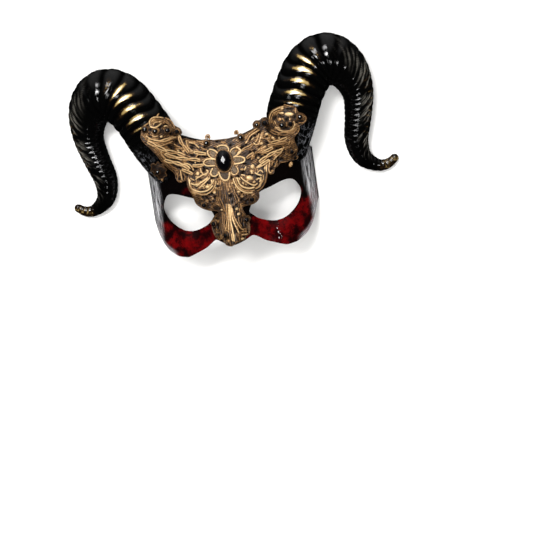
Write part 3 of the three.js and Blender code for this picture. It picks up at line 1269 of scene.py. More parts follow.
    def build(self) -> Object:
        """Both halves joined, given their wall and their finishes.

        Returns:
            The shell.
        """
        half, faces = self.half()
        points = np.vstack([half, half * np.array([-1, 1, 1])])
        points[:, 2] = np.maximum(points[:, 2] + self.folds(points) + self.crack(points), 0)
        piece = make_piece(
            "face_shell",
            points,
            np.vstack([faces, faces[:, ::-1] + len(half)]),
            ["shell"],
            floats={"redness": self.redness(points), "sheen_band": self.sheen_band(points)},
            uv=self.sheen_streak_places(points),
        )
        weld(piece, SEAM)
        for finish in (LacqueredShell(), MattInside(), WornEdge()):
            piece.data.materials.append(finish.build())
        self.thicken(piece)
        return piece

    def thicken(self, piece: Object) -> None:
        """Gives the front its wall, with a finish of its own inside and on the rim, and a soft rim.

        Args:
            piece: the shell's front.
        """
        wall = add_wall(piece, self.wall)
        wall.use_even_offset = True
        wall.thickness_clamp = 1.0
        wall.material_offset = 1
        wall.material_offset_rim = 2
        edge = piece.modifiers.new("edge", "BEVEL")
        edge.width = self.rim_rounding * MM
        edge.segments = 2
        edge.limit_method = "ANGLE"
        edge.angle_limit = math.radians(self.sharp_angle)
        edge.harden_normals = False

    def redness(self, points: Array) -> Array:
        """How far the red shows: full on the cheeks, less beside eyes and nose and on one brow.

        Args:
            points: the shell's points.

        Returns:
            The red's strength, 0 to 1.
        """
        x, y = points[:, 0], points[:, 1]
        side = np.abs(x)
        cheek = smooth_step(y, -22, -37) * smooth_step(side, 6, 15)
        beside = smooth_step(side, 50, 58) * smooth_step(y, 4, -14) * np.where(x > 0, 0.45, 0.28)
        glow = self.brow_patch.at(x, y) + self.nose_glow.at(side, y)
        return np.clip(cheek + beside + glow, 0, 1)

    def sheen_band(self, points: Array) -> Array:
        """Where the pale band of painted reflection runs: down the outer temples and along the cheek's
        outer edge.

        Args:
            points: the shell's points.

        Returns:
            The band's strength, 0 to 1.
        """
        x, y, z = points.T
        side = np.abs(x)
        top = np.where(x < 0, *self.temple_sheen_tops) + 4 * smooth_step(y, -30, 0)
        temple = smooth_step(z - top, 0, -6) * smooth_step(y, 24, 12) * smooth_step(z, 2, 10)
        lower = FACE.edge(FACE.lower_edge, side)
        cheek = smooth_step(y - lower, 5, 2) * smooth_step(side, 50, 58) * 0.6
        return np.clip(np.maximum(temple, cheek), 0, 1)

    def sheen_streak_places(self, points: Array) -> Array:
        """Flat places for the streaks of the band's painted reflection: in from the outer edge, and along
        it.

        Args:
            points: the shell's points.

        Returns:
            Flat places in millimetres.
        """
        x, y, z = points.T
        inward = np.minimum(z, 2 * (y - FACE.edge(FACE.lower_edge, np.abs(x))))
        return np.stack([inward, np.arctan2(y + 5, np.abs(x)) * FACE.half_width], 1)


@dataclass
class Horn:
    """One ridged horn.

    The four numbers of a stretch are distances along the horn, in millimetres: where it starts,
    where it is full, where it begins to fade and where it ends.
    """

    side: int
    rings: int = 600
    sides: int = 112
    seat_rings: int = 14
    root_reach: float = 75.0
    root_samples: int = 751
    root_folds: int = 6
    root_step: float = 4.2
    tip_crowding: float = 1.6
    bend_step: float = 0.012
    skim: float = 0.05
    crinkled: tuple = (72, 92, 165, 200)
    gilded: tuple = (40, 47, 78, 93)
    dusted: tuple = (105, 125, 160, 185)
    wrinkled: tuple = (92, 122, 165, 205)
    wrinkle_slant: float = 12.0

    @property
    def name(self) -> str:
        """Right or left horn."""
        return "horn_right" if self.side > 0 else "horn_left"

    def ridge_phase(self, at: Array, length: float, tip: float) -> tuple[Array, Array]:
        """Which ridge each distance belongs to, and how high ridges are there.

        Args:
            at: distances along the horn.
            length: the horn's length.
            tip: its radius at the tip.

        Returns:
            The running number of ridges passed, and the ridges' rise.
        """
        last = length - tip * 1.6
        first = HORN.smooth_root - self.root_folds * self.root_step
        starts = [first + self.root_step * fold for fold in range(self.root_folds + 1)]
        while starts[-1] < last:
            along = (starts[-1] - HORN.smooth_root) / (last - HORN.smooth_root)
            share = min(1.0, along * 2)
            starts.append(starts[-1] + HORN.step_root + (HORN.step_tip - HORN.step_root) * share)
        phase = np.interp(at, starts, np.arange(len(starts)))
        along = np.clip((at - HORN.smooth_root) / (last - HORN.smooth_root), 0, 1)
        rise = HORN.rise_root + (HORN.rise_tip - HORN.rise_root) * along
        root = 0.3 + 0.7 * smooth_step(at, HORN.smooth_root - 4, HORN.smooth_root + 8)
        return phase, rise * root * smooth_step(at, HORN.smooth_root - 26, HORN.smooth_root - 16)

    def surface(self) -> tuple[Array, dict[str, Array]]:
        """The horn's skin, from where each of its long lines leaves the shell to the tip.

        Round the centre line c(s), point = c + (front cos a + sideways sin a) r, where
        r = (base(s) + relief) sqrt(1 - t^2) and t runs from 0 to 1 over the last tip radius.
        The relief has one bell sin(pi f^1.2)^0.9 for each ridge, with finer folds on it.

        Returns:
            Rows of points, and numbers for each point.
        """
        dense, length = HORN.dense()
        total, tip = length[-1], dense[-1, 3]
        phi = round_angles(self.sides)[None]
        start = self.first_free(dense, length, phi)[None]
        share = 1 - (1 - np.linspace(0, 1, self.rings)[:, None]) ** self.tip_crowding
        at = start + (total - start) * share
        base = np.interp(at, length, dense[:, 3])
        rounding = np.sqrt(1 - np.clip((at - total + tip) / tip, 0, 1) ** 2)
        slow, quick = waves(phi, at, 11, 0.05, turns=True), waves(phi, at, 12, 0.3, turns=True)
        wander = 0.3 * slow + 0.06 * quick
        phase, rise = self.ridge_phase(at, total, tip)
        fold = np.mod(phase + wander, 1.0)
        bell = np.sin(math.pi * fold**1.2) ** 0.9
        relief = self.relief(phi, at, rise, bell, phase * 3 + 2.5 * wander)
        skin = 0.45 * self.root_skin(phi, at)
        radius = np.minimum((base + relief + skin) * rounding, base + 0.6 * rise)
        front, sideways, inward, bend = self.axes(dense, length, at)
        out = self.spokes(front, sideways, radius, phi)
        reach = HORN.bend_reach * bend - (out * inward).sum(-1)
        points = between(at, length, dense[:, :3]) + out + inward * np.minimum(0, reach)[..., None]
        points[..., 2] = np.maximum(points[..., 2], 0)
        values = {
            "gold_and_highlight": self.gold_and_highlight(phi, at, total, bell, fold),
            "crease_highlight": self.crease_highlight(phi, at),
            "wrinkle": self.wrinkles(phi, at),
            "groove": self.groove(phi, at, bell),
        }
        return points, values

    def relief(self, phi: Array, at: Array, rise: Array, bell: Array, finer: Array) -> Array:
        """How far the ridges stand out, most at the front, each with finer folds on it.

        Args:
            phi: angle round the horn.
            at: distance along the horn.
            rise: how high ridges are there.
            bell: the ridges' own form, 0 to 1.
            finer: the running number of finer folds.

        Returns:
            Millimetres over the smooth horn.
        """
        crinkled = stretch(at, *self.crinkled)
        double = (0.03 + 0.15 * crinkled) * np.sin(FULL_TURN * finer)
        fine = (0.04 + 0.08 * crinkled) * waves(phi, at, 13, 1.6, count=12, turns=True)
        uneven = 1 + 0.25 * waves(phi, at, 14, 0.11, turns=True)
        facing = 0.5 + 0.5 * np.cos(phi)
        return rise * uneven * (0.36 + 0.64 * facing**2) * (bell - 0.5 + double + fine)

    def groove(self, phi: Array, at: Array, bell: Array) -> Array:
        """Where the varnish is dull: in the valleys near the root, in patches towards the tip.

        Args:
            phi: angle round the horn.
            at: distance along it.
            bell: height of the ridges, 0 to 1.

        Returns:
            How dull it is, 0 to 1.
        """
        valleys = smooth_step(bell, 0.7, 0.3) * smooth_step(at, 115, 95)
        patches = smooth_step(waves(phi, at, 23, 0.17, turns=True), 0, 0.35)
        return np.maximum(valleys, 0.9 * smooth_step(at, 150, 185) * patches)

    def root_skin(self, phi: Array, at: Array) -> Array:
        """Crumpled skin over the first stretch: slanting creases that fade into the ridges.

        Args:
            phi: angle round the horn.
            at: distance along it.

        Returns:
            Depth of the creases, from -1 to 0.
        """
        wavy = 3.1 * np.sin(phi * 2.0) + 1.2 * waves(phi, at, 17, 0.15, turns=True)
        crease = np.abs(np.sin(at * 0.42 + wavy))
        return (crease**0.6 - 1.0) * smooth_step(at, HORN.smooth_root + 6, HORN.smooth_root - 14)

    def gold_and_highlight(self, phi: Array, at: Array, total: float, bell: Array, fold: Array) -> Array:
        """How much gold lies on the skin.

        It lies on crests in a strip along the front, with a thin line before and behind each
        crest; the strip drifts up the bend with where the highlight falls, so it is gold rub and painted
        highlight both. Then it lies thinly on the outer side past the bend, and over the tip.

        Args:
            phi: angle round the horn, 0 at its front and below 0 on the bend's outer side.
            at: distance along the horn.
            total: the horn's length.
            bell: height of the ridges, 0 to 1.
            fold: how far each point is from one valley to the next, 0 to 1.

        Returns:
            The gold's strength, 0 to about 1.
        """
        drift = 0.02 + 0.45 * smooth_step(at, 50, 95)
        strip = hill(off_angle(phi, -drift), 0, 0.52)
        near = stretch(at, *self.gilded)
        broken = 0.6 + 0.6 * waves(phi * 2, at, 19, 0.6, turns=True)
        lines = hill(fold, 0.28, 0.04) + hill(fold, 0.9, 0.04)
        crest = hill(fold, 0.63, 0.2)
        front = strip * near * (crest * (0.85 + 0.3 * broken) + 0.6 * lines * broken)
        outer = hill(off_angle(phi, -0.95), 0, 0.6)
        beyond = 0.5 * outer * stretch(at, *self.dusted) * bell**4
        end = smooth_step(at, total - 30, total - 10) * (0.36 + 0.12 * crest)
        return front + beyond + end

    def crease_highlight(self, phi: Array, at: Array) -> Array:
        """Painted highlight: pale grey on the crests of the crumpled skin on the root's outer side.

        Args:
            phi: angle round the horn.
            at: distance along it.

        Returns:
            The grey's strength, 0 to 1.
        """
        crest = self.root_skin(phi, at) + smooth_step(at, HORN.smooth_root + 6, HORN.smooth_root - 14)
        low = smooth_step(at, 40, 26)
        return np.clip(crest * 1.6 - 0.2, 0, 1) * low * hill(off_angle(phi, 1.1), 0, 0.6)

    def wrinkles(self, phi: Array, at: Array) -> Array:
        """Painted highlight: pale light as caught by fine slanting wrinkles, on the outer side round and
        past the bend.

        Args:
            phi: angle round the horn.
            at: distance along it.

        Returns:
            The light's strength, 0 to 1.
        """
        slant = at - self.wrinkle_slant * np.sin(phi + 0.5)
        streak = smooth_step(waves(phi, slant, 21, 1.7, count=20, turns=True), 0.3, 1.0)
        outer = smooth_step(np.abs(off_angle(phi, -1.2)), 1.2, 0.3)
        return streak * outer * stretch(at, *self.wrinkled)

    def axes(self, dense: Array, length: Array, s: Array) -> tuple[Array, Array, Array, Array]:
        """How the horn lies at distances along its centre line.

        Args:
            dense: points of the centre line.
            length: their distances along it.
            s: the distances asked for.

        Returns:
            Directions to its front, sideways and into its bend, and the bend's radius.
        """
        slope = unit(np.gradient(dense[:, :3], length, axis=0))
        tangent = unit(between(s, length, slope))
        front = unit(np.array([0.0, 0.0, 1.0]) - tangent * tangent[..., 2:3])
        step = length[-1] * self.bend_step
        low, high = np.maximum(s - step, 0), np.minimum(s + step, length[-1])
        change = between(high, length, slope) - between(low, length, slope)
        size = np.maximum(np.linalg.norm(change, axis=-1), CLOSE)
        return front, np.cross(tangent, front), unit(change), (high - low) / size

    def spokes(self, front: Array, sideways: Array, radius: Array, phi: Array) -> Array:
        """From the centre line out to the skin: (front cos a + sideways sin a) r."""
        ahead, aside = radius * np.cos(phi), radius * np.sin(phi)
        return front * ahead[..., None] + sideways * aside[..., None]

    def first_free(self, dense: Array, length: Array, phi: Array) -> Array:
        """Where each long line of the skin leaves the shell behind: its first point past the shell.

        Args:
            dense: points of the centre line.
            length: their distances along it.
            phi: the long lines' angles round the horn.

        Returns:
            A distance along the horn for each line.
        """
        s = np.linspace(0, self.root_reach, self.root_samples)[:, None] + 0 * phi
        front, sideways, _, _ = self.axes(dense, length, s)
        out = self.spokes(front, sideways, np.interp(s, length, dense[:, 3]), phi)
        centre = between(s, length, dense[:, :3])
        skin = HORN.place((centre + out).reshape(-1, 3), self.side).reshape(*s.shape, 3)
        buried = self.buried(skin[..., 0], skin[..., 1], skin[..., 2])
        last = np.where(buried.any(0), len(s) - np.argmax(buried[::-1], axis=0), 0)
        return s[np.minimum(last, len(s) - 1), 0]

    def buried(self, x: Array, y: Array, z: Array) -> Array:
        """Whether points lie behind the shell's front and below its upper edge."""
        in_front = z > FACE.height(x, y) + self.skim
        return (y < FACE.top(x)) & ~in_front & (np.abs(x) < FACE.half_width)

    def seat(self, loop: Array) -> Array:
        """Rows that draw the open end in to its middle, over the shell's front and its upper edge.

        Args:
            loop: the open end.

        Returns:
            Rows of points, from the open end inwards.
        """
        middle = loop.mean(0)
        t = np.linspace(1, 0, self.seat_rings)[1:, None, None]
        rows = middle + (loop - middle) * t
        x, y = rows[..., 0], rows[..., 1]
        on_shell = FACE.height(x, y) + self.skim
        rows[..., 2] = np.where(y < FACE.top(x) + 0.2, on_shell, np.maximum(rows[..., 2], 0))
        return rows

    def build(self) -> Object:
        """The horn in its place, with its finish.

        Returns:
            The horn's skin.
        """
        rows, values = self.surface()
        skin = HORN.place(rows.reshape(-1, 3), self.side).reshape(rows.shape)
        seat = self.seat(skin[0])[::-1]
        points = np.vstack([seat, skin])
        bare = np.zeros(seat.shape[:2])
        floats = {key: np.vstack([bare, value]).ravel() for key, value in values.items()}
        faces = grid_faces(len(points), self.sides, wrap=True)
        if self.side < 0:
            faces = faces[:, ::-1]
        flat = points.reshape(-1, 3)
        piece = make_piece(f"{self.name}_skin", flat, faces, [self.name], floats=floats)
        weld(piece, CLOSE)
        piece.data.materials.append(RubbedAndHighlitHorn().build())
        return piece


@dataclass(frozen=True)
class PhotoView:
    """Where the photograph was taken from, and so what each of its pixels shows."""

    yaw: float = 5.0
    tilt: float = 10.0
    roll: float = 8.2
    distance: float = 1600.0
    mm_per_pixel: float = 0.83
    picture: float = 550.0
    gem_pixel: tuple = (223.5, 160.9)
    aim: tuple = (0.4, 22.0, 56.0)
    passes: int = 14

    def axes(self) -> tuple[Array, Array, Array]:
        """The camera's right, up and backward directions.

        Returns:
            Three directions of length 1.
        """
        y, p, r = (math.radians(v) for v in (self.yaw, self.tilt, self.roll))
        back = np.array([math.sin(y) * math.cos(p), math.sin(p), math.cos(y) * math.cos(p)])
        level_up = unit(np.array([0, 1, 0]) - back * back[1])
        right = np.cross(level_up, back)
        tipped = right * math.cos(r) - level_up * math.sin(r)
        return tipped, level_up * math.cos(r) + right * math.sin(r), back

    def eye(self) -> Array:
        """The camera's place in the mask's millimetres, where the gem falls on its pixel.

        Returns:
            The place in millimetres.
        """
        right, up, back = self.axes()
        off = (np.array(self.gem_pixel) - self.picture / 2) * self.mm_per_pixel
        return np.array(self.aim) + back * self.distance - right * off[0] + up * off[1]

    def on_lace(self, pixels: Sequence[Sequence[float]], height: float = 2.0) -> Array:
        """The flat places under pixels of the photograph.

        Each line of sight is cut at the height of the lace above the place found so far, over
        and over: place = eye + way (z - eye z) / way z.

        Args:
            pixels: points by (x, y), in pixels from the upper left.
            height: the lace's height above its ground.

        Returns:
            Points by (x, y) in the mask's millimetres.
        """
        right, up, back = self.axes()
        eye = self.eye()
        off = (np.asarray(pixels, float) - self.picture / 2) * self.mm_per_pixel / self.distance
        way = right * off[:, :1] - up * off[:, 1:] - back
        z = np.full(len(way), self.aim[2])
        for _ in range(self.passes):
            spots = eye + way * ((z - eye[2]) / way[:, 2])[:, None]
            z = (z + GROUND.height(spots[:, 0], spots[:, 1]) + height) / 2
        return spots[:, :2]


VIEW = PhotoView()


@dataclass(frozen=True)
class Cord:
    """One drawn cord: the photograph's pixels that it passes through, and how it is laid."""

    points: tuple
    tone: float = 0.8
    lift: float = 0.15
    twin: float = 0.0

    @property
    def radius(self) -> float:
        """The cord's radius in millimetres: the palest cords are also the thickest."""
        return 0.42 + 0.22 * self.tone


@dataclass(frozen=True)
class Spot:
    """An oval of the drawing: its middle and half sizes in pixels, its turn and its tone."""

    x: float
    y: float
    long: float
    wide: float
    turn: float = 0.0
    tone: float = 1.0


def spots(*rows: tuple) -> tuple[Spot, ...]:
    """Ovals of the drawing, each written as the numbers of a Spot."""
    return tuple(Spot(*row) for row in rows)


@dataclass(frozen=True)
class Motif:
    """One part of the lace as drawn: cords, gaps in the cloth, satin pads and net."""

    cords: tuple
    gaps: tuple
    pads: tuple
    nets: tuple = ()
    paler: float = 0.0


FLOWER = Motif(
    cords=(
        Cord(((216.4, 159.4), (210.4, 158.8), (206, 159.6), (204, 161.8), (204.5, 164.2), (208, 165.8),
            (216, 165.4)), 1.2, 0.4),
        Cord(((208.6, 149.2), (212.6, 149.6), (215.8, 151.2), (218.2, 153.6)), 1.25, 0.4),
        Cord(((208.4, 149.6), (207.6, 152.6), (209.4, 156), (212.2, 158.2), (215.8, 159)), 1.1, 0.3),
        Cord(((216.2, 147.4), (219.4, 145.6), (223.2, 145.1), (226.4, 146), (228.4, 148.4),
            (228.8, 152)), 1.15, 0.4),
        Cord(((229.6, 153), (231.6, 149.4), (235.4, 147.4), (239.2, 148.6), (241, 151), (239.4, 153.4),
            (234.4, 156.4)), 1.05, 0.3),
        Cord(((232.6, 157), (237, 156.4), (241.4, 156.8), (244.4, 158.6), (244.4, 161), (241.6, 162.6),
            (233.6, 164.2)), 1.15, 0.4),
        Cord(((235.4, 165.2), (237.8, 168.8), (238, 172), (235.8, 174.4), (232.8, 174.2),
            (230.6, 171)), 1.05, 0.3),
        Cord(((218.4, 171.2), (219.9, 175.3), (221.8, 178.4), (224.9, 180.3), (228, 179.3),
            (229.4, 175.9), (229.8, 171.4)), 1.25, 0.5),
        Cord(((213.2, 167.6), (211.2, 170.8), (210.9, 174), (212.8, 175.9), (216, 175.8),
            (218.4, 173.4)), 1.1, 0.4),
    ),
    gaps=spots(
        (218, 147.6, 1.2, 0.8), (216.6, 141.2, 1.6, 1.2), (214.8, 148.4, 1.6, 0.8, -20),
        (230.4, 145.2, 1.2, 1.4), (241.6, 147.2, 1.2, 1.6, -40), (243, 171.8, 1.8, 0.8),
        (238, 176.2, 1.6, 1.1, 10), (244.6, 163.6, 2.4, 0.8), (231.6, 177.6, 0.8, 1.6),
        (204, 170, 1, 2, 15), (211.6, 178.4, 1.4, 0.8), (206.6, 168.6, 2.4, 0.6, -5),
        (203.6, 156.6, 3, 0.9, -8), (200.6, 163.2, 1.8, 0.8, -15), (205, 146.6, 1.6, 1.2),
    ),
    pads=spots(
        (223.4, 142.2, 3.6, 1.1, 0, 0.7), (236.2, 150.6, 2.2, 1.8, 10, 0.6),
        (242, 150.6, 1, 1.2, 0, 1.3), (205.6, 174.6, 2, 1.2, 30, 1.2),
    ),
    nets=spots(
        (210.8, 162.3, 5.8, 3, 0, 0.7), (213, 154.6, 4.4, 3.4, -40, 0.8), (222.4, 149, 6, 3, 0, 0.9),
        (234.8, 152.4, 4.6, 3.6, 30, 0.75), (238.4, 160.2, 5.6, 3.2, 5, 0.8),
        (234, 169.8, 3.6, 4.6, 10, 0.5), (224.4, 175.4, 5, 4.6, 0, 0.25),
        (214.6, 171.6, 3.4, 4.4, 0, 0.45),
    ),
)


RIGHT_WING = Motif(
    cords=(
        Cord(((235.4, 135), (234.6, 132.8), (235.6, 130.8), (237.4, 130.8), (238.2, 133),
            (237.4, 135)), 0.7, 0.2),
        Cord(((258, 127.6), (253.5, 130.6), (249.6, 133.4), (247.5, 136), (246.3, 139.5)), 0.8),
        Cord(((260, 129.5), (256, 131.8), (252.5, 134), (250, 136), (248.4, 138.8), (247, 141.5),
            (244.8, 143.8)), 0.95),
        Cord(((259.3, 133), (258, 137), (256.5, 140.5), (254.5, 142.5)), 0.9),
        Cord(((262.5, 131.5), (261, 136), (259.8, 140), (258.8, 143.5), (257, 145.3)), 0.95),
        Cord(((263.9, 131), (262.7, 135), (261.6, 139.5)), 0.7),
        Cord(((253.4, 142.1), (254.7, 144), (256.6, 144.5), (258.6, 143.4)), 1),
        Cord(((261.8, 138.3), (264.5, 138.4), (267.6, 139.5), (269.5, 141.5), (270.8, 143.4)), 0.65),
        Cord(((271.2, 134), (270.2, 137), (268.6, 138.9)), 0.75),
        Cord(((241.8, 150.5), (245.7, 148.3), (248.9, 147), (251.5, 145.2), (253.2, 142.8)), 0.7, 0, 1),
        Cord(((236, 146), (238.5, 148), (240.8, 150.3), (239, 152), (236.8, 154.5)), 1.1, 0.4),
        Cord(((236, 156.3), (240.8, 156.4), (244.7, 158), (244, 160.5)), 1.1, 0.4),
        Cord(((256.6, 151.8), (261.2, 152.8), (265, 152.8), (267.3, 153.4)), 0.8),
        Cord(((263.4, 151.5), (267, 150.5), (270.8, 148.6), (273.6, 146.8)), 0.9, 0.2, 1),
        Cord(((270.8, 143.1), (274.7, 142.1), (278.6, 140.8), (283.7, 139.3),
            (287.5, 137.2)), 1, 0.35, 1.2),
        Cord(((267, 146), (270.8, 144.9), (275.5, 144.2), (280.5, 142.8), (284.1, 142.4),
            (287, 141.2)), 0.8, 0.2, 1),
        Cord(((287.7, 144.8), (289.2, 143), (290.2, 140.2)), 0.8),
        Cord(((258.8, 162.4), (263.4, 158.9), (267, 156.4), (270.6, 154.2), (274.4, 152.2),
            (279.5, 150.8), (283, 148.6)), 1.05, 0.4, 1.2),
        Cord(((273.1, 160.4), (274.9, 158.2), (277.7, 155.4), (280.6, 152.9), (282.4, 149.5),
            (284.4, 146.6)), 0.85, 0.3),
        Cord(((246, 158.6), (248.9, 156.4), (251.5, 154.6), (254.4, 152.4)), 0.8, 0, 1),
        Cord(((251.3, 160.5), (252.2, 157), (253.6, 154)), 0.75),
        Cord(((257.4, 167.1), (262, 164.6), (266.3, 161.8), (269.9, 159.4)), 1.05, 0.3, 1),
        Cord(((270, 159.2), (269.2, 165), (268.8, 170), (269.9, 172.5), (272.4, 172.4)), 0.9, 0.3),
        Cord(((271.4, 166.4), (272.4, 162.9), (273.4, 160)), 0.8),
        Cord(((273.2, 166.8), (275.4, 165.9), (276, 162.9), (277.8, 160.2)), 0.75),
        Cord(((280.6, 162.1), (284.1, 161.8), (286.6, 160.6)), 0.5),
        Cord(((282.7, 155.4), (285.2, 156.3), (288, 155.6), (287.8, 157.4), (285.4, 159.3)), 0.4),
        Cord(((283.4, 147), (286.4, 147.6), (288.4, 145.6)), 0.55),
        Cord(((292.5, 137.5), (291.5, 142), (292.5, 146.5), (290.5, 150)), 0.45, 0, 1),
    ),
    gaps=spots(
        (258.6, 132.8, 3, 0.8, 40), (255, 135.5, 1.8, 0.8, 25), (250.6, 138.4, 0.8, 2.4, -30),
        (246.3, 144.7, 1.3, 1, 40), (243.4, 147, 1.1, 1.5), (267, 136.6, 1.3, 1),
        (268.6, 131.9, 2.8, 0.8, -35), (273.9, 134.6, 2, 0.9, -30), (276.6, 136.6, 1, 1.6),
        (281.5, 136.6, 1, 1.2), (267.3, 142.7, 1.8, 0.9, -35), (272.2, 140.6, 2, 0.6, 10),
        (277.9, 143.4, 2.6, 0.6, 18), (259.9, 146.2, 2.4, 0.8, 30), (254.4, 150.8, 1.8, 1.1, 20),
        (250.2, 151.8, 1.8, 1.1, 20), (238.9, 154.3, 1.6, 0.8, 25), (258.9, 154.4, 1.3, 1.3),
        (256, 156.8, 0.9, 2.4, -15), (261.8, 157.2, 0.8, 1.2, -20), (265.7, 154.6, 1.5, 0.8),
        (270.2, 157.3, 1.8, 0.9, 25), (276.6, 148.9, 1.3, 1.3), (280.5, 148.2, 1.3, 1.2),
        (270.8, 146.7, 2.5, 0.7, 22), (271.5, 151, 2.2, 0.7, 20), (277.9, 157.6, 1.4, 1.6, 40),
        (281.3, 158.9, 1.8, 1.2, 20), (248.3, 158.9, 1.8, 0.9, 20), (284.1, 150.8, 0.9, 1.3),
        (259.5, 160.4, 1.2, 0.8, 30), (264.5, 161, 1.3, 0.5, 30), (275.6, 161, 0.8, 1.3),
        (273.8, 164.5, 0.7, 1.1), (278.8, 162.3, 0.9, 1.8), (259.1, 164.6, 1.4, 0.8, 30),
        (271.6, 169.4, 1.5, 1.5), (284.6, 154, 1, 0.8),
    ),
    pads=spots(
        (266.5, 134.1, 1.8, 1.5, 20, 1.5), (272.6, 137.8, 1.7, 1.4, -15, 1.6),
        (261.6, 143.4, 1.5, 1.4, 0, 1.6), (252.8, 138.6, 2.5, 0.9, 45, 1.1),
        (279.1, 138.1, 0.8, 1.3, 10, 1.2), (258.3, 157.9, 1.5, 1.3, 0, 1.1),
        (264.4, 147, 2.6, 1.3, 30, 1), (285.6, 153.2, 1, 0.8, 0, 0.8),
        (259.2, 149.4, 2.2, 1.1, 30, 0.9), (236.5, 133, 1.5, 1.9, 0, 0.5),
        (290.8, 164.4, 2.2, 3.4, -20, 0.95), (272.5, 170.8, 1.6, 1.3, 0, 0.8),
    ),
)


